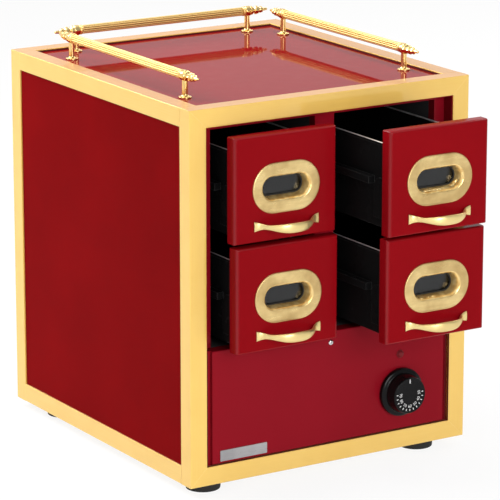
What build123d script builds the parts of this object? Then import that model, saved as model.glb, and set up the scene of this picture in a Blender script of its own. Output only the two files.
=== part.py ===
from build123d import *
from math import atan2, cos, degrees, pi, sin
import os

# Countertop nut warmer: a gold tube frame with red sheet panels, four pull-out drawers with
# windows and bow handles, a thermostat and heating element below them, a gallery rail on top.
# Millimetres, +X to the right and +Y to the back as seen from the front, +Z up.
# The pieces are drawn with the frame's bottom at z = 0 and the cabinet centred on X and Y, and
# then moved so that the feet stand on z = 0 and the open warmer's box is centred on the origin.

# Frame tubes
cabinet_width = 380.0
cabinet_depth = 420.0
cabinet_height = 440.0
tube_size = 22.0
tube_wall = 1.6
tube_edge_radius = 0.8

# Outer sheets
skin = 2.0
skin_recess = 2.0
top_recess = 3.0

# Warm chamber, seen through the two bays of the front
liner = 1.5
face_setback = 17.0
face_return = 11.5
mullion_width = 26.0
stile_width = 15.0
header_height = 6.5
bay_bottom = 158.0
chamber_rear_space = 34.0
floor_slot_length = 90.0
floor_slot_width = 7.0
floor_slot_pitch = 30.0
floor_slot_count = 3

# Control panel, a pressed pan with a flange down each side
panel_sheet = 1.5
panel_side_gap = 7.5
panel_setback = 1.0
panel_flange_setback = 5.5
panel_bottom_gap = 1.5
panel_edge_radius = 1.2
badge_width = 63.0
badge_height = 13.0
badge_thickness = 0.8
badge_from_left = 10.0
badge_from_bottom = 2.5

# Drawer fronts
front_thickness = 15.0
front_side_radius = 4.5
front_level_radius = 2.0
front_setback = 2.0
front_side_gap = 2.0
front_top_gap = 2.0
front_middle_gap = 3.5
front_bottom_gap = 3.0
pulled_out = {"upper_left": 33.6, "upper_right": 96.0, "lower_left": 38.4, "lower_right": 92.6}

# Window in each drawer front
window_height = 60.6
bezel_length = 89.0
bezel_height = 58.0
bezel_flange = 1.8
bezel_edge = 0.9
barrel_length = 68.0
barrel_height = 35.0
mouth_flare = 3.8
throat_length = 57.0
throat_height = 22.0
window_clearance = 0.2
glass_thickness = 3.0
glass_margin = 1.0

# Bow handle: places along half of the bow, each (across, out, height, thickness)
handle_height = 19.2
handle_half = ((0.0, 22.4, 11.2, 4.2), (8.0, 21.9, 11.0, 4.3), (16.0, 19.9, 9.8, 4.4),
               (23.0, 16.6, 7.6, 4.5), (30.0, 11.8, 5.6, 4.4), (36.5, 6.2, 8.2, 4.0),
               (42.8, -0.4, 11.8, 3.2))
handle_droop = 1.5

# Drawer trays and the rails that carry them
tray_side_space = 11.0
tray_rear_space = 14.0
tray_lift = 6.0
tray_drop = 19.0
tray_wall = 1.2
tray_corner = 6.0
hem_height = 3.0
hem_proud = 0.8
rail_height = 8.0
rail_width = 8.0
rail_level = 55.0
rail_start = 30.0
angle_length = 28.0
angle_height = 47.0
angle_sheet = 1.8
angle_flange = 8.0
angle_round = 12.0

# Runner channels on the chamber walls
channel_sheet = 1.2
channel_depth = 8.5
channel_setback = 13.0
rail_play = 0.3
stop_play = 0.5

# Thermostat, knob and pilot lamp
control_from_right = 92.5
knob_level = 70.0
knob_radius = 29.0
knob_face_radius = 22.0
knob_depth = 23.0
knob_skirt = 5.5
knob_edge = 1.6
knob_gap = 0.8
knob_wall = 2.4
spindle_radius = 3.0
spindle_play = 0.05
spindle_in_knob = 11.0
spindle_in_body = 14.0
hub_radius = 6.5
bush_radius = 5.0
hole_play = 0.3
thermostat_size = 34.0
thermostat_depth = 26.0
thermostat_plate = 40.0
blade_width = 6.3
blade_length = 9.0
blade_sheet = 0.8
capillary_radius = 1.0
bulb_radius = 3.0
bulb_length = 60.0
lamp_level = 115.5
lamp_radius = 5.0
lamp_body_radius = 4.0
lamp_body_length = 24.0
lens_dome = 2.6
lens_flange = 0.9

# Heating element under the chamber floor
element_radius = 3.5
element_drop = 12.0
element_span = 160.0
element_leg = 230.0
element_bend = 24.0
clip_thickness = 4.0
clip_width = 14.0
pin_radius = 2.0
pin_length = 14.0

# Mains entry and terminal block
gland_from_left = 70.0
gland_level = 52.0
gland_bore = 4.0
gland_thread = 7.5
gland_hex = 11.0
gland_hex_length = 6.0
gland_dome_length = 12.0
gland_hex_step = 1.0
gland_lip = 1.5
gland_inside = 8.0
gland_nut_length = 4.0
block_length = 44.0
block_depth = 18.0
block_height = 17.0
block_poles = 3
pole_radius = 4.2
pole_rise = 1.6

# Back panel vents
vent_length = 44.0
vent_width = 4.0
vent_pitch = 10.0
vent_rows = 5
vent_from_right = 60.0
vent_level = 38.0

# Screws
screw_head_radius = 3.3
screw_head_height = 2.2
screw_shank_radius = 1.9
screw_shank_length = 6.0
front_screw_level = 144.5
back_screw_inset = 8.0

# Feet
foot_radius = 21.0
foot_base_radius = 17.5
foot_height = 10.0
foot_recess_radius = 7.0
foot_recess_depth = 5.0
foot_inside_left = 9.0
foot_inside_right = 30.0
foot_inside_front = 3.0
foot_inside_rear = 41.0
foot_bolt_radius = 2.4
foot_bolt_length = 10.0
foot_bolt_head_corner = 5.0
foot_bolt_head_height = 2.6

# Gallery rail
gallery_rise = 26.0
rod_radius = 4.6
rod_reeds = 12
reed_height = 0.6
side_rod_inset = 40.0
side_post_front = 76.0
side_post_back = 80.0
back_rod_inset = 40.0
back_post_inset = 68.0
post_flange_radius = 7.5
post_flange_height = 2.0
post_foot_radius = 4.6
post_neck_radius = 3.1
post_collar_sunk = 1.0
post_collar_radius = 4.4
post_collar_height = 1.8
head_radius = 6.2
head_half_width = 4.4
collar_radius = 5.8
collar_length = 3.0
finial_length = 25.3
finial_tip_length = 11.0
finial_waist_radius = 2.9
finial_bulb_radius = 4.9
finial_tip_radius = 1.4

# Faces and edges that the pieces share
half_width = cabinet_width / 2
half_depth = cabinet_depth / 2
frame_x = half_width - tube_size
frame_y = half_depth - tube_size
frame_top = cabinet_height - tube_size
face_y = -half_depth + face_setback
liner_y = face_y + face_return
chamber_back = half_depth - chamber_rear_space
bay_top = frame_top - header_height
bay_inner = mullion_width / 2
bay_outer = frame_x - stile_width
bay_width = bay_outer - bay_inner
bay_centre = (bay_inner + bay_outer) / 2
panel_width = 2 * (frame_x - panel_side_gap)
panel_y = -half_depth + panel_setback
panel_flange_y = -half_depth + panel_flange_setback
back_y = half_depth - skin_recess
side_x = half_width - skin_recess
top_z = cabinet_height - top_recess
closed_front_y = -half_depth + front_setback
front_width = bay_width - 2 * front_side_gap
front_gaps = front_top_gap + front_middle_gap + front_bottom_gap
front_height = (bay_top - bay_bottom - front_gaps) / 2
front_z = {"lower": bay_bottom + front_bottom_gap}
front_z["upper"] = front_z["lower"] + front_height + front_middle_gap
tray_width = bay_width - 2 * tray_side_space
tray_length = chamber_back - tray_rear_space - closed_front_y - front_thickness
control_x = half_width - control_from_right
rod_z = top_z + gallery_rise
gland_end = gland_hex_length + gland_dome_length
handle_out = handle_half[0][1] + handle_half[0][3] / 2

# Move from the drawing position to the warmer's own frame
most_forward = closed_front_y - max(pulled_out.values()) - handle_out
most_rearward = back_y + gland_end
own_frame = Pos(0, -(most_forward + most_rearward) / 2, foot_height)


def block(x_limits, y_limits, z_limits):
    """Box between three pairs of limits."""
    limits = (x_limits, y_limits, z_limits)
    sizes = [high - low for low, high in limits]
    centre = [(high + low) / 2 for low, high in limits]
    return Pos(*centre) * Box(*sizes)


def seen_from_front(outline, y_near, y_far):
    """Outline drawn in X and Z, made solid from y_near back to y_far."""
    return extrude(Plane.XZ.offset(-y_far) * outline, amount=y_far - y_near)


def mirrored_pair(piece):
    """A piece and its mirror image on the other side of the centre plane."""
    return [piece, mirror(piece, Plane.YZ)]


def turned(points):
    """Solid of revolution about Z from (radius, height) points."""
    outline = Polyline(*[(radius, 0, height) for radius, height in points], close=True)
    return revolve(make_face(outline), Axis.Z)


def facing_front(piece):
    """Turn a piece drawn along +Z so that it points along -Y."""
    return Rot(90, 0, 0) * piece


def square_tube(x_limits, y_limits, z_limits, along):
    """Hollow square tube with rounded long edges, running along one axis."""
    outside = block(x_limits, y_limits, z_limits)
    outside = fillet(outside.edges().filter_by(along), tube_edge_radius)
    limits = [x_limits, y_limits, z_limits]
    for number, axis in enumerate((Axis.X, Axis.Y, Axis.Z)):
        if axis != along:
            low, high = limits[number]
            limits[number] = (low + tube_wall, high - tube_wall)
    return outside - block(*limits)


def mitred_frame(y_limits):
    """Two posts and two rails, mitred at the corners, of the front or the rear frame."""
    outer = ((-half_width, 0), (half_width, 0), (half_width, cabinet_height),
             (-half_width, cabinet_height))
    inner = ((-frame_x, tube_size), (frame_x, tube_size), (frame_x, frame_top),
             (-frame_x, frame_top))
    bars = []
    for side in range(4):
        after = (side + 1) % 4
        corners = (outer[side], outer[after], inner[after], inner[side])
        x_limits = (min(x for x, z in corners), max(x for x, z in corners))
        z_limits = (min(z for x, z in corners), max(z for x, z in corners))
        along = Axis.X if side % 2 == 0 else Axis.Z
        tube = square_tube(x_limits, y_limits, z_limits, along)
        bars.append(tube & seen_from_front(Polygon(*corners, align=None), *y_limits))
    return bars[1::2], bars[0::2]


def side_rails(z_limits):
    """Plain tubes that butt between the front and the rear frame."""
    rail = square_tube((frame_x, half_width), (-frame_y, frame_y), z_limits, Axis.Y)
    return mirrored_pair(rail)


def frame_nodes():
    """All twelve tubes of the frame."""
    front_posts, front_rails = mitred_frame((-half_depth, -frame_y))
    rear_posts, rear_rails = mitred_frame((frame_y, half_depth))
    return {
        "front_posts": front_posts,
        "front_rails": front_rails,
        "rear_posts": rear_posts,
        "rear_rails": rear_rails,
        "side_rails_top": side_rails((frame_top, cabinet_height)),
        "side_rails_bottom": side_rails((0, tube_size)),
    }


def back_screw_places():
    """Places of the back panel's screws, as (x, level)."""
    column = frame_x - back_screw_inset
    levels = (tube_size + back_screw_inset, cabinet_height / 2, frame_top - back_screw_inset)
    return [(x, level) for x in (-column, column) for level in levels]


def back_panel():
    """Back sheet with its vents, screw holes and the hole for the mains gland."""
    sheet = block((-frame_x, frame_x), (back_y - skin, back_y), (tube_size, frame_top))
    for row in range(vent_rows):
        level = vent_level + row * vent_pitch
        slot = Pos(frame_x - vent_from_right, level) * SlotOverall(vent_length, vent_width)
        sheet -= seen_from_front(slot, back_y - skin, back_y)
    holes = [(gland_from_left - frame_x, gland_level, gland_thread)]
    holes += [(x, level, screw_shank_radius) for x, level in back_screw_places()]
    for x, level, radius in holes:
        sheet -= seen_from_front(Pos(x, level) * Circle(radius), back_y - skin, back_y)
    return sheet


def skin_nodes():
    """The red outer sheets, each set into the frame."""
    side = block((side_x - skin, side_x), (-frame_y, frame_y), (tube_size, frame_top))
    right_side, left_side = mirrored_pair(side)
    across = (-frame_x, frame_x)
    deep = (-frame_y, frame_y)
    base = block(across, deep, (0, skin))
    for x, y in foot_places():
        base -= Pos(x, y) * Cylinder(foot_bolt_radius, 2 * skin)
    return {
        "side_panel_left": [left_side],
        "side_panel_right": [right_side],
        "top_panel": [block(across, deep, (top_z - skin, top_z))],
        "back_panel": [back_panel()],
        "base_panel": [base],
    }


def face_nodes():
    """Folded red strips round the two drawer bays."""
    front = (face_y, face_y + liner)
    fold = (face_y, liner_y)
    levels = (bay_bottom, bay_top)
    stile = block((bay_outer, frame_x), front, (bay_bottom, frame_top))
    stile += block((bay_outer, bay_outer + liner), fold, levels)
    header = block((-bay_outer, bay_outer), front, (bay_top, frame_top))
    header += block((-bay_outer, bay_outer), fold, (bay_top, bay_top + liner))
    mullion = block((-bay_inner, bay_inner), front, levels)
    for leg in ((-bay_inner, liner - bay_inner), (bay_inner - liner, bay_inner)):
        mullion += block(leg, fold, levels)
    return {"face_stiles": mirrored_pair(stile), "face_header": [header], "mullion": [mullion]}


def chamber_floor():
    """Sheet between the side panels, slotted above the heating element."""
    level = (bay_bottom - liner, bay_bottom)
    sheet = block((skin - side_x, side_x - skin), (-frame_y, frame_y), level)
    sheet += block((-frame_x, frame_x), (face_y, back_y - skin), level)
    for side in (-1, 1):
        for number in range(floor_slot_count):
            y = (number - (floor_slot_count - 1) / 2) * floor_slot_pitch
            slot = Pos(side * bay_centre, y) * SlotOverall(floor_slot_length, floor_slot_width)
            sheet -= Pos(0, 0, level[0]) * extrude(slot, amount=liner)
    return sheet


def chamber_nodes():
    """Black liner of the warm chamber and the hollow wall between its two bays."""
    deep = (liner_y, chamber_back)
    tall = (bay_bottom, bay_top)
    outer = bay_outer + liner
    side = block((bay_outer, outer), deep, tall)
    wall = block((-bay_inner, bay_inner), deep, tall)
    wall -= block((liner - bay_inner, bay_inner - liner), (deep[0] + liner, deep[1] - liner), tall)
    behind = (chamber_back, chamber_back + liner)
    return {
        "liner_sides": mirrored_pair(side),
        "liner_top": [block((-outer, outer), (liner_y, behind[1]), (bay_top, bay_top + liner))],
        "liner_back": [block((-outer, outer), behind, tall)],
        "chamber_floor": [chamber_floor()],
        "centre_partition": [wall],
    }


def runner_channel(level):
    """Channel on the right wall of the right bay, closed by a stop at its rear end."""
    inside = (level - rail_play, level + rail_height + rail_play)
    outside = (inside[0] - channel_sheet, inside[1] + channel_sheet)
    start = face_y + channel_setback
    end = closed_front_y + front_thickness + tray_length + stop_play
    wall = (bay_outer - channel_depth, bay_outer)
    channel = block(wall, (start, end + channel_sheet), outside)
    groove = block((wall[0], wall[1] - channel_sheet), (start, end), inside)
    return channel - groove


def runner_nodes():
    """Four channels for the upper pair of drawers and four for the lower pair."""
    nodes = {}
    for row, bottom in front_z.items():
        outer = runner_channel(bottom + rail_level)
        inner = mirror(outer, Plane.YZ.offset(bay_centre))
        nodes[row + "_runners"] = mirrored_pair(outer) + mirrored_pair(inner)
    return nodes


def control_panel():
    """Pressed pan: a raised field, side flanges, and a ledge back to the drawer bays."""
    field_x = panel_width / 2
    field_bottom = tube_size + panel_bottom_gap
    field = block((-field_x, field_x), (panel_y, panel_flange_y), (field_bottom, bay_bottom))
    rim = field.faces().sort_by(Axis.Y)[0].edges()
    field = fillet(rim, panel_edge_radius)
    flange = block((-frame_x, frame_x), (panel_flange_y, panel_flange_y + panel_sheet),
                   (tube_size, bay_bottom))
    ledge_level = (bay_bottom - panel_sheet, bay_bottom)
    ledge = block((-field_x, field_x), (panel_flange_y, face_y), ledge_level)
    hollow = block((panel_sheet - field_x, field_x - panel_sheet),
                   (panel_y + panel_sheet, panel_flange_y + panel_sheet),
                   (field_bottom + panel_sheet, bay_bottom - panel_sheet))
    panel = field + flange + ledge - hollow
    holes = [(control_x, knob_level, bush_radius + hole_play),
             (control_x, lamp_level, lamp_body_radius + hole_play),
             (0, front_screw_level, screw_shank_radius)]
    for x, level, radius in holes:
        panel -= seen_from_front(Pos(x, level) * Circle(radius), panel_y, panel_y + panel_sheet)
    return panel


def badge_plate():
    """Bare plate at the lower left of the control panel."""
    left = badge_from_left - panel_width / 2
    bottom = tube_size + panel_bottom_gap + badge_from_bottom
    outline = RectangleRounded(badge_width, badge_height, badge_thickness)
    centre = Pos(left + badge_width / 2, bottom + badge_height / 2)
    return seen_from_front(centre * outline, panel_y - badge_thickness, panel_y)


def drawer_front():
    """Thick front plate: its near face at y = 0, its bottom at z = 0, window cut through."""
    plate = block((-front_width / 2, front_width / 2), (0, front_thickness), (0, front_height))
    near_sides = plate.edges().filter_by(Axis.Z).sort_by(Axis.Y)[:2]
    plate = fillet(near_sides, front_side_radius)
    near_levels = plate.edges().filter_by(Axis.X).sort_by(Axis.Y)[:2]
    plate = chamfer(near_levels, front_level_radius)
    opening = SlotOverall(barrel_length + 2 * window_clearance,
                          barrel_height + 2 * window_clearance)
    return plate - seen_from_front(Pos(0, window_height) * opening, 0, front_thickness)


def window_bezel():
    """Polished surround: a flat flange and a barrel whose mouth narrows to the glass."""
    centre = Pos(0, window_height)
    depth = front_thickness - glass_thickness
    flange = seen_from_front(centre * SlotOverall(bezel_length, bezel_height), -bezel_flange, 0)
    flange = chamfer(flange.faces().sort_by(Axis.Y)[0].edges(), bezel_edge)
    bezel = flange + seen_from_front(centre * SlotOverall(barrel_length, barrel_height), 0, depth)
    length = depth + bezel_flange
    flare = degrees(atan2(mouth_flare, length))
    throat = Plane.XZ.offset(-depth) * centre * SlotOverall(throat_length, throat_height)
    return bezel - extrude(throat, amount=length, taper=-flare)


def window_glass():
    """Pane that sits in the window opening behind the bezel."""
    size = (barrel_length - 2 * glass_margin, barrel_height - 2 * glass_margin)
    pane = Pos(0, window_height) * SlotOverall(*size)
    return seen_from_front(pane, front_thickness - glass_thickness, front_thickness)


def bow_handle():
    """Bow pull with flared ends, lofted through ellipses that follow the bow."""
    halves = [(-x, out, tall, thick) for x, out, tall, thick in handle_half[:0:-1]]
    stations = halves + list(handle_half)
    sections = []
    for number, (x, out, tall, thick) in enumerate(stations):
        before = stations[max(number - 1, 0)]
        after = stations[min(number + 1, len(stations) - 1)]
        turn = degrees(atan2(after[1] - before[1], after[0] - before[0]))
        droop = handle_droop * max(out, 0) / handle_half[0][1]
        place = Pos(x, -out, handle_height - droop) * Rot(0, 0, -turn) * Rot(0, 90, 0)
        sections.append(place * Ellipse(tall / 2, thick / 2))
    bow = loft(sections, ruled=True)
    behind = block((-front_width, front_width), (0, front_thickness), (0, front_height))
    return bow - behind


def tray_shell():
    """Open sheet-metal tray with rounded corners and a hem round its rim."""
    height = front_height - tray_drop - tray_lift
    half = tray_width / 2 - hem_proud
    deep = (front_thickness, front_thickness + tray_length - hem_proud)
    outside = block((-half, half), deep, (tray_lift, tray_lift + height))
    corners = outside.edges().filter_by(Axis.Z).sort_by(Axis.Y)[2:]
    outside = fillet(corners, tray_corner)
    inside = block((tray_wall - half, half - tray_wall), (deep[0] + tray_wall, deep[1] - tray_wall),
                   (tray_lift + tray_wall, tray_lift + height))
    inner_corners = inside.edges().filter_by(Axis.Z).sort_by(Axis.Y)[2:]
    inside = fillet(inner_corners, tray_corner - tray_wall)
    rim_limits = (tray_lift + height - hem_height, tray_lift + height)
    hem = block((-tray_width / 2, tray_width / 2), (deep[0], deep[1] + hem_proud), rim_limits)
    hem = fillet(hem.edges().filter_by(Axis.Z).sort_by(Axis.Y)[2:], tray_corner + hem_proud)
    return outside + hem - inside


def tray_angle():
    """Angle welded to the right side of the tray, with a flange against the front plate."""
    side = tray_width / 2 - hem_proud
    top = rail_level + rail_height
    levels = (top - angle_height, top)
    arm = block((side, side + angle_sheet), (front_thickness, front_thickness + angle_length),
                levels)
    upper_rear = arm.edges().filter_by(Axis.X).sort_by(Axis.Z)[2:].sort_by(Axis.Y)[1]
    arm = fillet(upper_rear, angle_round)
    flange = block((side, side + angle_flange), (front_thickness, front_thickness + angle_sheet),
                   levels)
    return arm + flange


def drawer_tray():
    """Tray with a window in its front wall, its two side rails and its two angles."""
    side = tray_width / 2 - hem_proud
    reach = (front_thickness + rail_start, front_thickness + tray_length)
    straight_end = reach[1] - hem_proud - tray_corner
    rail = block((side, side + rail_width), (reach[0], straight_end),
                 (rail_level, rail_level + rail_height))
    window = Pos(0, window_height) * SlotOverall(throat_length, throat_height)
    shell = tray_shell() - seen_from_front(window, front_thickness, front_thickness + tray_wall)
    return [shell] + mirrored_pair(rail) + mirrored_pair(tray_angle())


def drawer_nodes():
    """Five pieces for each of the four drawers, at the places where the drawers are left open."""
    pieces = {"front": [drawer_front()], "bezel": [window_bezel()], "glass": [window_glass()],
              "handle": [bow_handle()], "tray": drawer_tray()}
    nodes = {}
    for place, pulled in pulled_out.items():
        row, side = place.split("_")
        x = bay_centre if side == "right" else -bay_centre
        at_drawer = Pos(x, closed_front_y - pulled, front_z[row])
        for name, solids in pieces.items():
            nodes["drawer_" + name + "_" + place] = [at_drawer * solid for solid in solids]
    return nodes


def knob():
    """Hollow thermostat knob with a skirt, a cone and a hub for the spindle."""
    body = turned([(0, 0), (knob_radius, 0), (knob_radius, knob_skirt),
                   (knob_radius - knob_edge, knob_skirt + knob_edge),
                   (knob_face_radius, knob_depth - knob_edge),
                   (knob_face_radius - knob_edge, knob_depth), (0, knob_depth)])
    hollow = turned([(hub_radius, 0), (knob_radius - knob_wall, 0),
                     (knob_radius - knob_wall, knob_skirt),
                     (knob_face_radius - knob_wall, knob_skirt),
                     (knob_face_radius - knob_wall, knob_depth - knob_wall),
                     (hub_radius, knob_depth - knob_wall)])
    socket = turned([(0, 0), (spindle_radius, 0), (spindle_radius, spindle_in_knob),
                     (0, spindle_in_knob)])
    return facing_front(body - hollow - socket)


def thermostat_body():
    """Capillary thermostat behind the panel: bush, plate, case and two blade terminals."""
    length = thermostat_depth
    bush = Pos(0, 0, -length / 2) * Cylinder(bush_radius, length)
    case_front = -length / 4
    case = block((-thermostat_size / 2, thermostat_size / 2),
                 (-thermostat_size / 2, thermostat_size / 2), (-length, case_front))
    plate = block((-thermostat_plate / 2, thermostat_plate / 2),
                  (-thermostat_size / 3, thermostat_size / 3), (case_front, case_front + skin))
    body = bush + case + plate
    for side in (-1, 1):
        centre = side * thermostat_size / 4
        body += block((centre - blade_width / 2, centre + blade_width / 2),
                      (-blade_sheet / 2, blade_sheet / 2), (-length - blade_length, -length))
    bore_depth = spindle_in_body + panel_sheet
    bore = Pos(0, 0, -bore_depth / 2) * Cylinder(spindle_radius + spindle_play, bore_depth)
    return facing_front(body - bore)


def thermostat_spindle():
    """Round spindle from inside the thermostat to the bottom of the knob's socket."""
    reach = knob_gap + panel_sheet + spindle_in_knob
    spindle = turned([(0, -spindle_in_body), (spindle_radius, -spindle_in_body),
                      (spindle_radius, reach), (0, reach)])
    return facing_front(spindle)


def sensor_capillary():
    """Fine tube from the thermostat case up to a bulb under the chamber floor."""
    start_y = panel_y + panel_sheet + thermostat_depth
    bulb_z = bay_bottom - liner - bulb_radius - rail_play
    far_y = start_y + 2 * thermostat_depth
    route = FilletPolyline((control_x, start_y, knob_level + thermostat_size / 4),
                           (control_x, far_y, knob_level + thermostat_size / 4),
                           (control_x, far_y, bulb_z),
                           (control_x - thermostat_depth, far_y, bulb_z),
                           radius=thermostat_depth / 3)
    tube = sweep(Plane(route @ 0, z_dir=route % 0) * Circle(capillary_radius), path=route)
    bulb = Pos(control_x - thermostat_depth - bulb_length / 2, far_y, bulb_z)
    return tube + bulb * Rot(0, 90, 0) * Cylinder(bulb_radius, bulb_length)


def pilot_lamp():
    """Lamp barrel behind the control panel."""
    barrel = turned([(0, -lamp_body_length), (lamp_body_radius, -lamp_body_length),
                     (lamp_body_radius, 0), (0, 0)])
    return Pos(control_x, panel_y, lamp_level) * facing_front(barrel)


def pilot_lens():
    """Domed lens with a thin flange on the face of the control panel."""
    half_chord = lamp_radius - lens_flange
    dome_radius = (half_chord ** 2 + lens_dome ** 2) / (2 * lens_dome)
    dome = Pos(0, 0, lens_flange + lens_dome - dome_radius) * Sphere(dome_radius)
    above = Pos(0, 0, lens_flange + dome_radius) * Box(*[2 * dome_radius] * 3)
    flange = Pos(0, 0, lens_flange / 2) * Cylinder(lamp_radius, lens_flange)
    return Pos(control_x, panel_y, lamp_level) * facing_front(flange + (dome & above))


def heater_nodes():
    """U-shaped element with its terminal pins, and the clips that hang it from the floor."""
    level = bay_bottom - liner - element_drop
    front_end = -element_leg / 2
    legs = (-element_span / 2, element_span / 2)
    route = FilletPolyline((legs[0], front_end, level), (legs[0], -front_end, level),
                           (legs[1], -front_end, level), (legs[1], front_end, level),
                           radius=element_bend)
    element = sweep(Plane(route @ 0, z_dir=route % 0) * Circle(element_radius), path=route)
    for x in legs:
        pin = Rot(90, 0, 0) * Cylinder(pin_radius, pin_length)
        element += Pos(x, front_end - pin_length / 2, level) * pin
    clips = []
    for x in legs:
        for y in (front_end / 2, -front_end / 2):
            plate = block((x - clip_width / 2, x + clip_width / 2),
                          (y - clip_thickness / 2, y + clip_thickness / 2),
                          (level - clip_width / 2, bay_bottom - liner))
            hole = Rot(90, 0, 0) * Cylinder(element_radius, 2 * clip_thickness)
            clips.append(plate - Pos(x, y, level) * hole)
    return {"heating_element": [element], "element_clips": clips}


def terminal_block():
    """Screw terminal block on the base panel, near the mains entry."""
    case = block((-block_length / 2, block_length / 2), (-block_depth / 2, block_depth / 2),
                 (0, block_height))
    pitch = block_length / block_poles
    for pole in range(block_poles):
        x = (pole - (block_poles - 1) / 2) * pitch
        case += Pos(x, 0, block_height) * Cylinder(pole_radius, 2 * pole_rise)
    return Pos(gland_from_left - frame_x, back_y - 2 * block_length, skin) * case


def cable_gland():
    """Mains gland: hexagon and dome outside the back panel, locknut inside it."""
    hexagon = extrude(RegularPolygon(gland_hex, 6), gland_hex_length)
    dome_radius = gland_hex - gland_hex_step
    dome = turned([(0, gland_hex_length), (dome_radius, gland_hex_length),
                   (dome_radius, gland_hex_length + gland_dome_length / 2),
                   (gland_bore + gland_lip, gland_end), (0, gland_end)])
    thread = Pos(0, 0, -(gland_inside + skin) / 2) * Cylinder(gland_thread, gland_inside + skin)
    nut = extrude(RegularPolygon(gland_hex, 6), -gland_nut_length)
    gland = hexagon + dome + thread + Pos(0, 0, -skin) * nut
    bore = Cylinder(gland_bore, 4 * (gland_end + gland_inside))
    place = Pos(gland_from_left - frame_x, back_y, gland_level) * Rot(-90, 0, 0)
    return place * (gland - bore)


def pan_screw():
    """Pan-head screw whose head sits on z = 0 and points up."""
    return turned([(0, -screw_shank_length), (screw_shank_radius, -screw_shank_length),
                   (screw_shank_radius, 0), (screw_head_radius, 0),
                   (screw_head_radius - screw_head_height / 2, screw_head_height),
                   (0, screw_head_height)])


def panel_screws():
    """One screw in the control panel and six in the back panel."""
    screws = [Pos(0, panel_y, front_screw_level) * facing_front(pan_screw())]
    for x, level in back_screw_places():
        screws.append(Pos(x, back_y, level) * Rot(-90, 0, 0) * pan_screw())
    return screws


def foot_places():
    """Centres of the four feet in plan."""
    columns = (foot_inside_left - frame_x, frame_x - foot_inside_right)
    rows = (foot_inside_front - frame_y, frame_y - foot_inside_rear)
    return [(x, y) for x in columns for y in rows]


def foot_nodes():
    """Tapered rubber feet and the bolts recessed in them."""
    foot = turned([(0, 0), (foot_radius, 0), (foot_base_radius, -foot_height), (0, -foot_height)])
    recess = Pos(0, 0, foot_recess_depth / 2 - foot_height)
    foot -= recess * Cylinder(foot_recess_radius, foot_recess_depth)
    foot -= Pos(0, 0, -foot_height / 2) * Cylinder(foot_bolt_radius, foot_height)
    bolt_seat = foot_recess_depth - foot_height
    bolt = Pos(0, 0, bolt_seat + foot_bolt_length / 2) * Cylinder(foot_bolt_radius, foot_bolt_length)
    bolt += Pos(0, 0, bolt_seat) * extrude(RegularPolygon(foot_bolt_head_corner, 6),
                                           -foot_bolt_head_height)
    places = foot_places()
    return {"feet": [Pos(x, y) * foot for x, y in places],
            "foot_bolts": [Pos(x, y) * bolt for x, y in places]}


def reeded_rod(length):
    """Rod along X with rounded reeds all round and a plain collar at each end."""
    crest = rod_radius + reed_height
    step = 2 * pi / rod_reeds
    arcs = []
    for reed in range(rod_reeds):
        angles = (reed * step, (reed + 0.5) * step, (reed + 1) * step)
        radii = (rod_radius, crest, rod_radius)
        arcs.append(ThreePointArc(*[(r * cos(a), r * sin(a)) for r, a in zip(radii, angles)]))
    reeded = extrude(make_face(Wire(arcs)), amount=length - 2 * collar_length)
    rod = Pos(0, 0, collar_length - length / 2) * reeded
    for end in (-1, 1):
        rod += Pos(0, 0, end * (length - collar_length) / 2) * Cylinder(collar_radius, collar_length)
    return Rot(0, 90, 0) * rod


def gallery_post():
    """Turned post: flange, tapered stem and collar, under a round head turned along the rod."""
    collar_top = gallery_rise - head_radius + post_collar_sunk
    collar_bottom = gallery_rise - head_radius - post_collar_height
    post = turned([(0, 0), (post_flange_radius, 0), (post_flange_radius, post_flange_height),
                   (post_foot_radius, post_flange_height), (post_neck_radius, collar_bottom),
                   (post_collar_radius, collar_bottom), (post_collar_radius, collar_top),
                   (0, collar_top)])
    head = Pos(0, 0, gallery_rise) * Rot(0, 90, 0) * Cylinder(head_radius, 2 * head_half_width)
    return post + head


def gallery_finial():
    """Turned end piece along +X: a cap against the head, a waist, a bulb and a long tip."""
    bulb_end = finial_length - finial_tip_length
    finial = turned([(0, 0), (collar_radius, 0), (collar_radius, collar_length),
                     (finial_waist_radius, 2 * collar_length), (finial_bulb_radius, bulb_end),
                     (finial_tip_radius, finial_length), (0, finial_length)])
    return Rot(0, 90, 0) * finial


def gallery_nodes():
    """Three rails, each a reeded rod between two posts with a finial past each post."""
    rails = [
        (half_width - side_rod_inset, side_post_front - half_depth, half_depth - side_post_back, 90),
        (side_rod_inset - half_width, side_post_front - half_depth, half_depth - side_post_back, 90),
        (half_depth - back_rod_inset, back_post_inset - half_width, half_width - back_post_inset, 0),
    ]
    rods = []
    posts = []
    finials = []
    for offset, start, end, turn in rails:
        middle = (start + end) / 2
        length = end - start
        if turn:
            place = Pos(offset, middle, 0) * Rot(0, 0, turn)
        else:
            place = Pos(middle, offset, 0)
        rods.append(place * Pos(0, 0, rod_z) * reeded_rod(length - 2 * head_half_width))
        for side in (-1, 1):
            posts.append(place * Pos(side * length / 2, 0, top_z) * gallery_post())
            tip = Rot(0, 0, 180) if side < 0 else Rot(0, 0, 0)
            from_head = side * (length / 2 + head_half_width)
            finials.append(place * Pos(from_head, 0, rod_z) * tip * gallery_finial())
    return {"gallery_side_rods": rods[:2], "gallery_back_rod": rods[2:],
            "gallery_posts": posts, "gallery_finials": finials}


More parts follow.
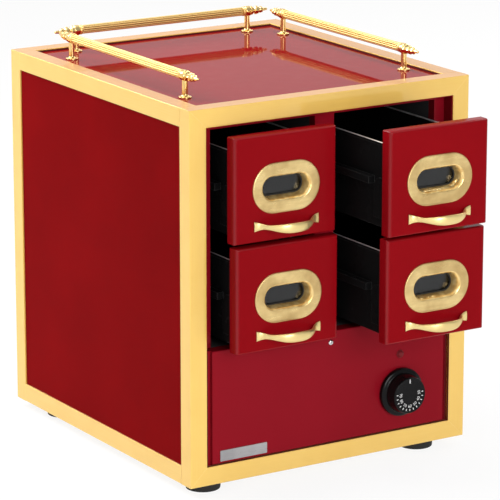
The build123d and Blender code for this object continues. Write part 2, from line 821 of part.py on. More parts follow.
def control_nodes():
    """Control panel and what is fixed to it or turns in it."""
    at_spindle = Pos(control_x, panel_y, knob_level)
    behind_sheet = Pos(0, panel_sheet, 0)
    return {
        "control_panel": [control_panel()],
        "badge_plate": [badge_plate()],
        "knob": [at_spindle * Pos(0, -knob_gap, 0) * knob()],
        "thermostat_body": [at_spindle * behind_sheet * thermostat_body()],
        "thermostat_spindle": [at_spindle * behind_sheet * thermostat_spindle()],
        "sensor_capillary": [sensor_capillary()],
        "pilot_lamp": [pilot_lamp()],
        "pilot_lens": [pilot_lens()],
        "terminal_block": [terminal_block()],
        "cable_gland": [cable_gland()],
        "panel_screws": panel_screws(),
    }


def write_parts():
    """Write one STEP file for each node, in the warmer's own frame."""
    os.makedirs("parts", exist_ok=True)
    groups = [frame_nodes(), skin_nodes(), face_nodes(), chamber_nodes(), runner_nodes(),
              control_nodes(), heater_nodes(), drawer_nodes(), foot_nodes(), gallery_nodes()]
    for group in groups:
        for node, pieces in group.items():
            solids = []
            for piece in pieces:
                solids += (own_frame * piece).solids()
            shape = solids[0] if len(solids) == 1 else Compound(children=solids)
            export_step(shape, "parts/" + node + ".step")


write_parts()
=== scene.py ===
# %% [markdown]
# # Nut warmer in a photo studio
# The cabinet, its drawers and every part that moves come from the CAD frame. This lesson gives
# each part its finish, rebuilds the turned, cast and pressed pieces as fine meshes, and sets up
# the camera and the light. Lengths are in metres, in the frame's own axes: +X to the right seen
# from the front, +Y to the back, +Z up. Only the corners of turned outlines and the stations of
# the handle are in millimetres, because a row of such small sizes reads best that way.

# %% Load the frame
from math import cos, pi, radians, sin, tan, tau

import bmesh
import bpy
import numpy as np
from mathutils import Matrix, Vector
from mathutils.geometry import tessellate_polygon


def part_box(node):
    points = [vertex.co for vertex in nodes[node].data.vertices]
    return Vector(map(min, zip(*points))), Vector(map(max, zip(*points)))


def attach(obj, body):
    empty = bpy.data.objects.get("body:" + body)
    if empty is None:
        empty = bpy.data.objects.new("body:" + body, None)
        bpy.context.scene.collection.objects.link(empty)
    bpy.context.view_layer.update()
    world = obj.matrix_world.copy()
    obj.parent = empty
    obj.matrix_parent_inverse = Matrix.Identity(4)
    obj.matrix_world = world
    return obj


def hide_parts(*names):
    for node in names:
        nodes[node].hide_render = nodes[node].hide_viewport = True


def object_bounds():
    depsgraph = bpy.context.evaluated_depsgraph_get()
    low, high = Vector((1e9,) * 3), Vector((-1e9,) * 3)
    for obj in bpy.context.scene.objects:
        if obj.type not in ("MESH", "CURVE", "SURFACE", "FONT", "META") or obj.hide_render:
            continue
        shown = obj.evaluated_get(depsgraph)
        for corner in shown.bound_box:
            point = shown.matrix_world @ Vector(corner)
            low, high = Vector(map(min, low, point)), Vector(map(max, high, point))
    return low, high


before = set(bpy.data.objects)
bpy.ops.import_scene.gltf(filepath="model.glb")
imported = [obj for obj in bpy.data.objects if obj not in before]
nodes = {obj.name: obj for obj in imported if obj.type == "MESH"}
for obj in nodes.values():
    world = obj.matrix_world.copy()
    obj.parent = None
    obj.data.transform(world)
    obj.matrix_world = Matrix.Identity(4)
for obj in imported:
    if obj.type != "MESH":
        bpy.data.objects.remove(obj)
cad_low, cad_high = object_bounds()
mm = 0.001

# %% [markdown]
# ## Where things are
# A node's mesh already lies at its place, so its box gives every size that a new piece needs.
# Some nodes hold several solids, such as the six posts. Their corners are matched by position
# first, because the mesh is split along its sharp edges, and then linked through the faces.

# %% Boxes of the frame's pieces
DRAWERS = ("upper_left", "upper_right", "lower_left", "lower_right")


def islands(node):
    """Box (low corner, high corner) of each separate solid in a node, sorted by X, Y, Z."""
    mesh = nodes[node].data
    places = {}
    owner = []
    for vertex in mesh.vertices:
        key = tuple(round(value, 6) for value in vertex.co)
        owner.append(places.setdefault(key, len(places)))
    root = list(range(len(places)))

    def top(index):
        while root[index] != index:
            root[index] = root[root[index]]
            index = root[index]
        return index

    for face in mesh.polygons:
        corners = [owner[index] for index in face.vertices]
        for corner in corners[1:]:
            root[top(corner)] = top(corners[0])
    groups = {}
    for key, index in places.items():
        groups.setdefault(top(index), []).append(key)
    boxes = [(Vector(np.min(keys, axis=0)), Vector(np.max(keys, axis=0)))
             for keys in groups.values()]
    return sorted(boxes, key=lambda box: tuple(box[0]))


def middle(box, **moved):
    """Centre of a box, with its x, y or z moved to a given value."""
    centre = (box[0] + box[1]) / 2
    for axis, value in moved.items():
        setattr(centre, axis, value)
    return centre


print("posts:", len(islands("gallery_posts")), "first front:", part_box("drawer_front_upper_left"))

# %% [markdown]
# ## Camera
# The photograph was taken from the left, a little above the cabinet, with a long lens. The place,
# the aim and the lens were fitted to the corners of the gold frame, so the edges run to the same
# far points. A wrong distance would show at once, as a top face too narrow or too deep.

# %% Camera
camera_place = Vector((-1.9656, -3.1290, 1.1946))
camera_turn = 0.5582
camera_tilt = 0.2553
lens_length = 230.67
sensor_width = 36.0
farthest_seen = 60.0


def add_object(name, data):
    """New object in the scene."""
    thing = bpy.data.objects.new(name, data)
    bpy.context.scene.collection.objects.link(thing)
    return thing


camera_data = bpy.data.cameras.new("studio_camera")
camera_data.lens = lens_length
camera_data.sensor_width = sensor_width
camera_data.clip_end = farthest_seen
camera = add_object("studio_camera", camera_data)
camera.location = camera_place
camera.rotation_euler = (pi / 2 - camera_tilt, 0, -camera_turn)
bpy.context.scene.camera = camera
bpy.context.scene.view_settings.view_transform = "Standard"
print("camera at", tuple(camera_place), "lens", lens_length)

# %% [markdown]
# ## Small helpers for shader nodes
# A material is a small graph. One helper makes a node and fills its sockets, with a plain value
# or with another node's output, so that a graph reads as a few lines of code.

# %% Node helpers
def add_node(tree, kind, inputs=None, **settings):
    """New node; inputs gives a value, or a socket to link from, for each input's name or number."""
    node = tree.nodes.new(kind)
    for name, value in settings.items():
        setattr(node, name, value)
    for name, value in (inputs or {}).items():
        if isinstance(value, bpy.types.NodeSocket):
            tree.links.new(value, node.inputs[name])
        else:
            node.inputs[name].default_value = value
    return node


def calculate(tree, operation, *values, clamp=False):
    """Output of a maths node."""
    inputs = dict(enumerate(values))
    return add_node(tree, "ShaderNodeMath", inputs, operation=operation, use_clamp=clamp).outputs[0]


def vector_math(tree, operation, *vectors):
    """Outputs of a vector maths node, by name: Vector or Value."""
    inputs = dict(enumerate(vectors))
    return add_node(tree, "ShaderNodeVectorMath", inputs, operation=operation).outputs


def mix_colours(tree, factor, first, second):
    """Output of a colour mix; a colour is a socket or (red, green, blue)."""
    ends = [end if isinstance(end, bpy.types.NodeSocket) else (*end, 1) for end in (first, second)]
    inputs = {0: factor, 6: ends[0], 7: ends[1]}
    return add_node(tree, "ShaderNodeMix", inputs, data_type="RGBA").outputs[2]


def spread(tree, value, low=0.0, high=1.0, to_low=0.0, to_high=1.0):
    """Output of a map range node, held between its ends."""
    inputs = {0: value, 1: low, 2: high, 3: to_low, 4: to_high}
    return add_node(tree, "ShaderNodeMapRange", inputs).outputs[0]


# %% [markdown]
# ## World, floor and lamps
# A cut-out product picture has a white surround. More light would bleach the red paint, so the
# white is mixed in only where the camera, a gloss or a pane looks at it, through Light Path.
# Polished metal needs something dark to reflect as well, as it has in a real studio: a soft
# grey field in the world stands for the unlit side of the room, and only a gloss sees it.
# The floor keeps a share of its real shading, and with it the soft shadow of the cabinet.

# %% Helpers of the studio
def seen_in_picture(tree):
    """1 for rays from the camera, from a gloss and through a pane, else 0."""
    path = add_node(tree, "ShaderNodeLightPath").outputs
    gloss_or_camera = calculate(tree, "MAXIMUM", path["Is Camera Ray"], path["Is Glossy Ray"])
    return calculate(tree, "MAXIMUM", gloss_or_camera, path["Is Transmission Ray"])


def empty_tree(owner):
    """Node tree of a world or a material, with its first nodes taken out."""
    owner.use_nodes = True
    owner.node_tree.nodes.clear()
    return owner.node_tree


def show_mix(tree, output, factor, first, second):
    """Send a mix of two shader nodes to the output node of a tree."""
    mix = add_node(tree, "ShaderNodeMixShader",
                   {0: factor, 1: first.outputs[0], 2: second.outputs[0]})
    add_node(tree, output, {0: mix.outputs[0]})


# %% World
world_light = 0.52
room_grey = 0.42
room_direction = Vector((0.62, -0.74, 0.26))
room_begins = 0.25
room_full = 0.85

world = bpy.data.worlds.new("studio")
bpy.context.scene.world = world
tree = empty_tree(world)
direction = add_node(tree, "ShaderNodeTexCoord").outputs["Generated"]
towards = vector_math(tree, "DOT_PRODUCT", direction, room_direction.normalized())["Value"]
in_room = spread(tree, towards, room_begins, room_full)
gloss_ray = add_node(tree, "ShaderNodeLightPath").outputs["Is Glossy Ray"]
dark_share = calculate(tree, "MULTIPLY", in_room, gloss_ray)
surround = mix_colours(tree, dark_share, (1, 1, 1), (room_grey, room_grey, room_grey))
shown = add_node(tree, "ShaderNodeBackground", {"Color": surround, "Strength": 1.0})
lighting = add_node(tree, "ShaderNodeBackground", {"Color": (1, 1, 1, 1), "Strength": world_light})
show_mix(tree, "ShaderNodeOutputWorld", seen_in_picture(tree), lighting, shown)
print("world lights at", world_light)

# %% Floor
floor_size = 14.0
floor_white_share = 0.88
floor_drop = 0.4 * mm
paper_white = (0.95, 0.95, 0.95, 1)

half = floor_size / 2
floor_mesh = bpy.data.meshes.new("floor")
floor_mesh.from_pydata([(-half, -half, 0), (half, -half, 0), (half, half, 0), (-half, half, 0)],
                       [], [(0, 1, 2, 3)])
floor = add_object("floor", floor_mesh)
floor.location.z = -floor_drop

paper = bpy.data.materials.new("studio_paper")
tree = empty_tree(paper)
matt = add_node(tree, "ShaderNodeBsdfDiffuse", {"Color": paper_white})
glow = add_node(tree, "ShaderNodeEmission", {"Color": (1, 1, 1, 1), "Strength": 1.0})
share = calculate(tree, "MULTIPLY", seen_in_picture(tree), floor_white_share)
show_mix(tree, "ShaderNodeOutputMaterial", share, matt, glow)
floor_mesh.materials.append(paper)
print("floor", floor_size, "m wide")

# %% Lamps
# Each square softbox: its place, its width and its power in watts
softboxes = {
    "left_softbox": ((-0.9, 1.0, 1.35), 0.9, 26),
    "front_softbox": ((-0.3, -3.2, 1.0), 1.6, 56),
    "top_softbox": ((-0.3, 0.3, 3.0), 1.2, 38),
    "right_softbox": ((2.4, 0.9, 1.7), 1.3, 26),
}
for name, (place, width, watts) in softboxes.items():
    light = bpy.data.lights.new(name, "AREA")
    light.size = width
    light.energy = watts
    lamp = add_object(name, light)
    lamp.location = place
    aim = middle((cad_low, cad_high)) - lamp.location
    lamp.rotation_euler = aim.to_track_quat("-Z", "Y").to_euler()
print("lamps:", ", ".join(softboxes))

# %% [markdown]
# ## Effects that several finishes share
# Paint, brushing and polish differ in their values, but the effects under them are the same:
# an edge that is never quite sharp, a lacquer that is never quite flat, a grain left by the
# belt, clouds of slightly other tone and a little dust. Each is a node group with named inputs,
# made once. It puts out only values and normals, so the shader stays in the material. Two more
# masks find the rounds of an edge and the faces that look up, where a finish differs; on the gold
# tubes the faces that look up take a painted reflection.

# %% Group helpers
def add_socket(group, label, side, vector):
    """New named input or output of a group, for a vector or for a number."""
    kind = "NodeSocketVector" if vector else "NodeSocketFloat"
    return group.interface.new_socket(label, in_out=side, socket_type=kind)


def new_group(name, **inputs):
    """Shader node group with its inputs, each a number or a vector; returns (group, inputs)."""
    group = bpy.data.node_groups.new(name, "ShaderNodeTree")
    for label, value in inputs.items():
        add_socket(group, label, "INPUT", isinstance(value, tuple)).default_value = value
    return group, add_node(group, "NodeGroupInput").outputs


def close_group(group, **results):
    """Give a group its outputs and link its results to them."""
    for label, socket in results.items():
        add_socket(group, label, "OUTPUT", socket.type == "VECTOR")
    add_node(group, "NodeGroupOutput", results)
    print("group", group.name, "gives", ", ".join(results))


# %% Soft edge
# The bevel node bends the normal near a sharp edge, so the edge catches the light. Where the
# bent normal leaves the flat one is the second output: there a finish wears, the tray coat takes
# a painted highlight and the satin brass a painted shade.
edge_gain = 5.0
edge_samples = 6


def surface_normal(tree):
    """The normal of the surface, before any bump."""
    return add_node(tree, "ShaderNodeNewGeometry").outputs["Normal"]


soft_edge, start = new_group("soft_edge", Radius=0.4 * mm)
bent = add_node(soft_edge, "ShaderNodeBevel", {"Radius": start["Radius"]},
                samples=edge_samples).outputs[0]
agree = vector_math(soft_edge, "DOT_PRODUCT", bent, surface_normal(soft_edge))["Value"]
differ = calculate(soft_edge, "SUBTRACT", 1.0, agree)
close_group(soft_edge, Normal=bent,
            Edge=calculate(soft_edge, "MULTIPLY", differ, edge_gain, clamp=True))

# %% Clouds of tone
def local_noise(tree, scale, detail, stretch=None):
    """Noise fixed to the object's own axes, which move with it; a stretch squeezes each axis."""
    place = add_node(tree, "ShaderNodeTexCoord").outputs["Object"]
    if stretch:
        place = vector_math(tree, "MULTIPLY", place, stretch)["Vector"]
    return add_node(tree, "ShaderNodeTexNoise",
                    {"Vector": place, "Scale": scale, "Detail": detail}).outputs["Fac"]


clouds, start = new_group("clouds", Scale=20.0, Contrast=0.3)
low = calculate(clouds, "SUBTRACT", 0.5, start["Contrast"])
high = calculate(clouds, "ADD", 0.5, start["Contrast"])
close_group(clouds, Value=spread(clouds, local_noise(clouds, start["Scale"], 4.0), low, high))

# %% Orange peel
# Sprayed lacquer and buffed metal both keep long shallow waves. They are only hundredths of a
# millimetre deep, and are what makes a reflection look real.
def bumped(tree, height, start):
    """Normal that follows a height, by the group's own Depth and Normal."""
    return add_node(tree, "ShaderNodeBump", {"Distance": start["Depth"], "Height": height,
                                             "Normal": start["Normal"]}).outputs[0]


orange_peel, start = new_group("orange_peel", Scale=300.0, Depth=0.01 * mm, Normal=(0, 0, 0))
waves = local_noise(orange_peel, start["Scale"], 1.5)
close_group(orange_peel, Normal=bumped(orange_peel, waves, start))

# %% Brushing
# A belt leaves long fine lines. The noise is squeezed across the lines and drawn out along them.
streak_low = 0.3
streak_high = 0.7

brushing, start = new_group("brushing", Stretch=(10, 2000, 2000), Depth=0.002 * mm,
                            Normal=(0, 0, 0))
lines = local_noise(brushing, 1.0, 3.0, start["Stretch"])
close_group(brushing, Streak=spread(brushing, lines, streak_low, streak_high),
            Normal=bumped(brushing, lines, start))

# %% Dust
# Dust lies only where a surface looks up, in patches.
patch_low = 0.45
patch_high = 0.75
dust_slope = 0.6


def parts_of(tree, vector):
    """The X, Y and Z of a vector."""
    return add_node(tree, "ShaderNodeSeparateXYZ", {0: vector}).outputs


def upward(tree, slope, level):
    """0 to 1 as a face turns to look up; slope and level are its normal's Z at the two ends."""
    return spread(tree, parts_of(tree, surface_normal(tree))["Z"], slope, level)


dust, start = new_group("dust", Amount=0.1, Scale=60.0)
patches = spread(dust, local_noise(dust, start["Scale"], 6.0), patch_low, patch_high)
lying = calculate(dust, "MULTIPLY", patches, upward(dust, dust_slope, 1.0))
close_group(dust, Mask=calculate(dust, "MULTIPLY", lying, start["Amount"]))

# %% Rounded rim
# On a real round the normal leaves the axes of the object, so its largest part falls below 1.
# The mask is 0 on flat faces and 1 in the middle of each round, where lacquer shines most.
rim_gain = 4.5

rounded_rim, start = new_group("rounded_rim", Amount=1.0)
lengths = vector_math(rounded_rim, "ABSOLUTE", surface_normal(rounded_rim))["Vector"]
parts = parts_of(rounded_rim, lengths)
largest = calculate(rounded_rim, "MAXIMUM", parts["X"], parts["Y"])
largest = calculate(rounded_rim, "MAXIMUM", largest, parts["Z"])
off_axis = calculate(rounded_rim, "MULTIPLY", calculate(rounded_rim, "SUBTRACT", 1.0, largest),
                     rim_gain, clamp=True)
close_group(rounded_rim, Mask=calculate(rounded_rim, "MULTIPLY", off_axis, start["Amount"]))

# %% Upper faces: painted reflection
# The gold's upper faces take a redder, darker colour that is a painted reflection. The mask is 1 on
# level upper faces.
upper_slope = 0.7
upper_level = 0.98

top_painted_reflection, start = new_group("top_painted_reflection", Amount=1.0)
level = upward(top_painted_reflection, upper_slope, upper_level)
close_group(top_painted_reflection, Mask=calculate(top_painted_reflection, "MULTIPLY", level, start["Amount"]))

# %% [markdown]
# ## Finishes
# Every finish is one Principled shader with values that are even all over set on its sockets,
# and colour, roughness and normal driven by the effects. Four recipes make them all: lacquer
# and enamel, metal, moulded plastic or rubber, and glass.

# %% Helpers of a finish
def effect(tree, group, **inputs):
    """Outputs of a shared effect placed in a material."""
    return add_node(tree, "ShaderNodeGroup", inputs, node_tree=group).outputs


def new_finish(name, **even):
    """Material with a Principled shader, with the values that are even all over."""
    material = bpy.data.materials.new(name)
    material.use_nodes = True
    shader = material.node_tree.nodes["Principled BSDF"]
    for label, value in even.items():
        shader.inputs[label.replace("_", " ")].default_value = value
    return material, material.node_tree


def feed(material, **changing):
    """Link what changes over the surface to the shader."""
    shader = material.node_tree.nodes["Principled BSDF"]
    for label, socket in changing.items():
        material.node_tree.links.new(socket, shader.inputs[label.replace("_", " ")])


def dress(material, colour, mask, gloss, duller, normal):
    """Feed the colour, the normal and a roughness that rises with a mask, up to a factor."""
    rough = spread(material.node_tree, mask, to_low=gloss, to_high=duller * gloss)
    feed(material, Base_Color=colour, Roughness=rough, Normal=normal)
    return material


# %% Lacquer
pale_dust = (0.55, 0.5, 0.46)
thin_paint_and_highlight = 0.5


def lacquer(name, colour, shade, edge_colour, gloss, specular, peel=0.012 * mm, dust_amount=0.0,
            rim_shine=0.0):
    """Sprayed paint: clouds of tone, an edge colour that is thin paint on the reds and a painted
    highlight on the tray coat, orange peel, a little dust.
    """
    material, tree = new_finish(name, Specular_IOR_Level=specular, Coat_Roughness=0.06,
                                Coat_IOR=1.9)
    edge = effect(tree, soft_edge, Radius=0.5 * mm)
    tone = effect(tree, clouds, Scale=9.0, Contrast=0.25)["Value"]
    haze = effect(tree, clouds, Scale=42.0, Contrast=0.2)["Value"]
    edge_wear_and_highlight = calculate(tree, "MULTIPLY", edge["Edge"], thin_paint_and_highlight)
    edge_wear_and_painted_light = mix_colours(tree, edge_wear_and_highlight, mix_colours(tree, tone, colour, shade), edge_colour)
    settled = effect(tree, dust, Amount=dust_amount, Scale=60.0)["Mask"]
    wavy = effect(tree, orange_peel, Scale=260.0, Depth=peel, Normal=edge["Normal"])["Normal"]
    if rim_shine:
        feed(material, Coat_Weight=effect(tree, rounded_rim, Amount=rim_shine)["Mask"])
    return dress(material, mix_colours(tree, settled, edge_wear_and_painted_light, pale_dust), haze, gloss, 1.35, wavy)


# %% Metal
warm_tint = (0.98, 0.90, 0.85, 1)
streak_share = 0.35


def metal(name, colour, shade, gloss, stretch=(900, 900, 900), depth=0.0, wave=0.01 * mm,
          wave_scale=160.0, edge_radius=0.3 * mm, edge_colour=None, metallic=1.0, cloud=24.0,
          contrast=0.25):
    """Bare or plated metal: clouds of tone, a grain that may be drawn out, waves from buffing, and
    an edge colour. The mirror brass's clouds are painted reflection and the satin brass's edge
    colour is painted shade.
    """
    material, tree = new_finish(name, Metallic=metallic, Specular_Tint=warm_tint,
                                Coat_Tint=warm_tint, Coat_Roughness=0.07)
    edge = effect(tree, soft_edge, Radius=edge_radius)
    wavy = effect(tree, orange_peel, Scale=wave_scale, Depth=wave, Normal=edge["Normal"])
    grain = effect(tree, brushing, Stretch=stretch, Depth=depth, Normal=wavy["Normal"])
    tone = effect(tree, clouds, Scale=cloud, Contrast=contrast)["Value"]
    streaks = calculate(tree, "MULTIPLY", grain["Streak"], streak_share)
    drawn = mix_colours(tree, streaks, mix_colours(tree, tone, colour, shade), shade)
    edge_wear_and_painted_light = mix_colours(tree, edge["Edge"], drawn, edge_colour or colour)
    return dress(material, edge_wear_and_painted_light, grain["Streak"], gloss, 1.5, grain["Normal"])


# %% Moulded plastic and rubber
grey_dust = (0.42, 0.4, 0.37)


def moulded(name, colour, shade, gloss, specular, grain_depth=0.01 * mm, grain_scale=1400.0,
            dust_amount=0.0):
    """Moulded plastic or rubber: fine grain, lighter dust on what looks up, soft edges."""
    material, tree = new_finish(name, Specular_IOR_Level=specular)
    edge = effect(tree, soft_edge, Radius=0.3 * mm)
    tone = effect(tree, clouds, Scale=60.0, Contrast=0.25)["Value"]
    settled = effect(tree, dust, Amount=dust_amount, Scale=90.0)["Mask"]
    grain = effect(tree, orange_peel, Scale=grain_scale, Depth=grain_depth, Normal=edge["Normal"])
    toned = mix_colours(tree, tone, colour, shade)
    dusty = mix_colours(tree, settled, toned, grey_dust)
    return dress(material, dusty, tone, gloss, 1.25, grain["Normal"])


# %% Glass
smear_tone = 0.94


def clear(name, colour, ior, gloss, see_through=1.0):
    """Glass or clear moulding whose surface has a faint uneven smear."""
    material, tree = new_finish(name, IOR=ior, Transmission_Weight=see_through)
    smear = effect(tree, clouds, Scale=45.0, Contrast=0.2)["Value"]
    wavy = effect(tree, orange_peel, Scale=40.0, Depth=0.004 * mm)["Normal"]
    smeared = tuple(smear_tone * value for value in colour)
    return dress(material, mix_colours(tree, smear, colour, smeared), smear, gloss, 2.0, wavy)


# %% [markdown]
# ## Gold
# The frame is square aluminium tube with a satin gold anodised skin: a metal whose tint gives
# the yellow, with a fine grain along each tube. Its upper faces take a redder, darker gold, which
# is a painted reflection, and a thinner coat that leaves them duller. The handles, window
# surrounds and gallery are cast or turned brass with a paler polish, the barrel of each window is
# mirror bright with sharp clouds of painted reflection, the flange has painted shade along its
# edges, and the grooves of the rods carry painted shade.

# %% Gold finishes
gold = (0.87, 0.635, 0.16)
gold_deep = (0.83, 0.585, 0.13)
gold_edge = (0.97, 0.76, 0.29)
# Redder, darker gold for the upper faces: a painted reflection
gold_top_painted_reflection = (0.60, 0.35, 0.15)
upper_coat = 0.3
along_x = (14, 1800, 1800)
along_y = (1800, 14, 1800)
along_z = (1800, 1800, 14)


def satin_tube(name, stretch):
    """Anodised tube with its grain along one axis; its upper faces take a painted reflection in a
    redder, darker gold, and a thinner clear coat.
    """
    material = metal(name, gold, gold_deep, 0.38, stretch, depth=0.0015 * mm, wave=0.006 * mm,
                     wave_scale=60.0, edge_radius=0.5 * mm, edge_colour=gold_edge, metallic=0.48)
    tree = material.node_tree
    clean = tree.nodes["Principled BSDF"].inputs["Base Color"].links[0].from_socket
    top_reflection_mask = effect(tree, top_painted_reflection, Amount=1.0)["Mask"]
    feed(material, Base_Color=mix_colours(tree, top_reflection_mask, clean, gold_top_painted_reflection),
         Coat_Weight=spread(tree, top_reflection_mask, to_low=1.0, to_high=upper_coat))
    return material


tube_across = satin_tube("gold_tube_across", along_x)
tube_deep = satin_tube("gold_tube_deep", along_y)
tube_upright = satin_tube("gold_tube_upright", along_z)
# The satin brass's dark brown edge colour is painted shade along the flange's edges.
brass_satin = metal("satin_brass", (0.82, 0.62, 0.28), (0.54, 0.37, 0.15), 0.26, (45, 300, 300),
                    wave=0.03 * mm, wave_scale=100.0, edge_radius=0.8 * mm,
                    edge_colour=(0.52, 0.34, 0.14), metallic=0.88, cloud=34.0, contrast=0.12)
# The barrel's sharp dark and light clouds are painted reflection.
barrel_brass_painted_reflection = metal("mirror_brass_painted_reflection", (1.0, 0.78, 0.36), (0.72, 0.47, 0.16), 0.08, (300, 300, 300),
                     wave=0.5 * mm, wave_scale=230.0, metallic=0.62, cloud=130.0, contrast=0.10)
brass_cast = metal("polished_cast_brass", (0.90, 0.735, 0.33), (0.74, 0.565, 0.24), 0.30,
                   (60, 200, 200), wave=0.012 * mm, wave_scale=110.0,
                   edge_colour=(0.90, 0.78, 0.48), metallic=0.88)
brass_turned = metal("turned_brass", (0.95, 0.73, 0.34), (0.84, 0.58, 0.22), 0.12,
                     (400, 400, 400), depth=0.001 * mm, wave=0.006 * mm, wave_scale=200.0)
brass_reeded = metal("reeded_brass", (0.93, 0.68, 0.27), (0.87, 0.60, 0.21), 0.32,
                     (200, 200, 200), wave=0.0, edge_radius=0.05 * mm, metallic=0.72)
# Dark brown for the faces in the valleys of the reeds: painted shade.
groove_painted_shade = metal("groove_brass_painted_shade", (0.34, 0.14, 0.04), (0.26, 0.10, 0.035), 0.45,
                     (200, 200, 200), wave=0.0, edge_radius=0.05 * mm, metallic=0.7)
print("gold finishes ready")

# %% [markdown]
# ## Red
# The sheets are powder-coated steel and the drawer fronts are sprayed. Both keep a deep red in
# a white room, so their gloss is weak when looked at squarely, and grows at a low angle. Only
# the rounded edges of the drawer fronts carry a clear coat that shines. The side and back sheets
# take a darker copy of the front's red, which is painted shade.

# %% Red finishes
# Side and back sheets: a darker copy of the red, painted shade
red_sheet_shaded_side = lacquer("red_sheet_side_painted_shade", (0.195, 0.0026, 0.0036), (0.158, 0.0021, 0.0030),
                   (0.32, 0.012, 0.012), 0.16, 0.004)
red_top = lacquer("red_sheet_top", (0.23, 0.005, 0.008), (0.21, 0.004, 0.007),
                  (0.36, 0.02, 0.02), 0.035, 0.022, peel=0.004 * mm, dust_amount=0.01)
red_panel = lacquer("red_sheet_front", (0.235, 0.005, 0.0125), (0.21, 0.0042, 0.0105),
                    (0.38, 0.02, 0.02), 0.14, 0.05)
red_drawer = lacquer("red_lacquer", (0.225, 0.0030, 0.0060), (0.200, 0.0025, 0.0052),
                     (0.40, 0.035, 0.035), 0.13, 0.02, rim_shine=0.25)
print("red finishes ready")

# %% [markdown]
# ## Everything else
# Black enamel inside, black-coated trays with bright rims and a light edge colour that is a
# painted highlight, galvanised sheet below, chromed screws, rubber feet, dark painted shade for
# the strips round the top and at the panel's edges, moulded knob and gland with white ink on the
# dial, copper capillary, brushed badge plate, the red lens and the window panes. A pane keeps a
# plain transmission, and only its smear varies.

# %% Other finishes
enamel = lacquer("black_enamel", (0.065, 0.065, 0.066), (0.055, 0.055, 0.057),
                 (0.10, 0.10, 0.10), 0.35, 0.05)
# The tray coat's light grey edge colour is a painted highlight along its edges.
tray_coat = lacquer("tray_coating", (0.0085, 0.0085, 0.0087), (0.0070, 0.0070, 0.0072),
                    (0.18, 0.18, 0.18), 0.22, 0.012)
bright_steel = metal("bright_steel", (0.80, 0.80, 0.80), (0.66, 0.66, 0.66), 0.30, along_y,
                     depth=0.001 * mm, metallic=0.6)
galvanised = metal("galvanised_sheet", (0.56, 0.58, 0.60), (0.36, 0.38, 0.41), 0.34,
                   (260, 260, 260), depth=0.003 * mm, wave=0.02 * mm, wave_scale=90.0)
chrome = metal("screw_chrome", (0.80, 0.80, 0.80), (0.62, 0.62, 0.63), 0.10)
element_steel = metal("element_steel", (0.20, 0.19, 0.18), (0.11, 0.10, 0.10), 0.38)
copper = metal("copper_tube", (0.80, 0.33, 0.18), (0.55, 0.20, 0.10), 0.22)
badge_metal = metal("badge_aluminium", (0.52, 0.51, 0.51), (0.32, 0.31, 0.32), 0.26,
                    (20, 2600, 2600), depth=0.004 * mm, wave=0.006 * mm, wave_scale=80.0,
                    edge_colour=(0.10, 0.08, 0.08))
knob_black = moulded("knob_plastic", (0.0035, 0.0035, 0.0038), (0.0048, 0.0048, 0.0052),
                     0.08, 0.13)
plastic = moulded("black_plastic", (0.016, 0.016, 0.017), (0.022, 0.022, 0.023), 0.42, 0.4)
white_plastic = moulded("white_plastic", (0.72, 0.70, 0.66), (0.62, 0.60, 0.55), 0.34, 0.5)
dark_painted_shade = moulded("dark_strip_painted_shade", (0.085, 0.007, 0.006), (0.065, 0.006, 0.005), 0.5, 0.05)
rubber = moulded("foot_rubber", (0.013, 0.013, 0.013), (0.02, 0.02, 0.02), 0.62, 0.25,
                 grain_depth=0.02 * mm, grain_scale=900.0, dust_amount=0.12)
dial_ink = moulded("dial_ink", (0.72, 0.72, 0.72), (0.62, 0.62, 0.62), 0.45, 0.3)
window_glass = clear("window_glass", (0.80, 0.82, 0.84), 1.36, 0.02)
lens_red = clear("red_lens", (0.17, 0.005, 0.009), 1.30, 0.30, see_through=0.1)
print("finishes:", len(bpy.data.materials))

# %% [markdown]
# ## Finishes on the CAD nodes
# Sheets, tubes and brackets have their true shape in the frame, so they stay, and each node
# only gets its finish through its material slot.

# %% Assign finishes
finished_nodes = (
    (tube_upright, ["front_posts", "rear_posts"]),
    (tube_across, ["front_rails", "rear_rails"]),
    (tube_deep, ["side_rails_top", "side_rails_bottom"]),
    (red_sheet_shaded_side, ["side_panel_left", "side_panel_right", "back_panel"]),
    (red_top, ["top_panel"]),
    (red_panel, ["face_stiles", "face_header", "mullion", "control_panel"]),
    (enamel, ["liner_sides", "liner_top", "liner_back", "chamber_floor", "centre_partition",
              "upper_runners", "lower_runners"]),
    (galvanised, ["base_panel", "element_clips"]),
    (badge_metal, ["badge_plate"]),
    (plastic, ["thermostat_body", "pilot_lamp", "cable_gland"]),
    (white_plastic, ["terminal_block"]),
    (element_steel, ["heating_element", "thermostat_spindle"]),
    (copper, ["sensor_capillary"]),
    (chrome, ["foot_bolts"]),
    (tray_coat, ["drawer_tray_" + drawer for drawer in DRAWERS]),
    (window_glass, ["drawer_glass_" + drawer for drawer in DRAWERS]),
)
for material, names in finished_nodes:
    for name in names:
        nodes[name].material_slots[0].material = material
print("finishes set on", sum(len(names) for material, names in finished_nodes), "nodes")

# %% [markdown]
# ## Mesh helpers
# Most pieces here are a skin over a row of rings: a turned part is a circle that changes its
# radius, a bow handle is an oval that travels along a curve. One function skins the rings,
# and another rounds the corners of an outline, because no cast or turned corner is sharp.

# %% Skin over rings
def skin(rings, loop=False, caps=False):
    """Points and faces of a skin over rings of equal length; caps close its two ends."""
    count = len(rings[0])
    points = [point for ring in rings for point in ring]
    faces = []
    for level in range(len(rings) if loop else len(rings) - 1):
        here = level * count
        above = (level + 1) % len(rings) * count
        for side in range(count):
            after = (side + 1) % count
            faces.append((here + side, here + after, above + after, above + side))
    if caps:
        faces.append(tuple(reversed(range(count))))
        faces.append(tuple(range(len(points) - count, len(points))))
    return points, faces


# %% Angles, rounded outlines and turned shapes
# The most of a side that the curve at one of its ends may take
curve_limit = 0.48


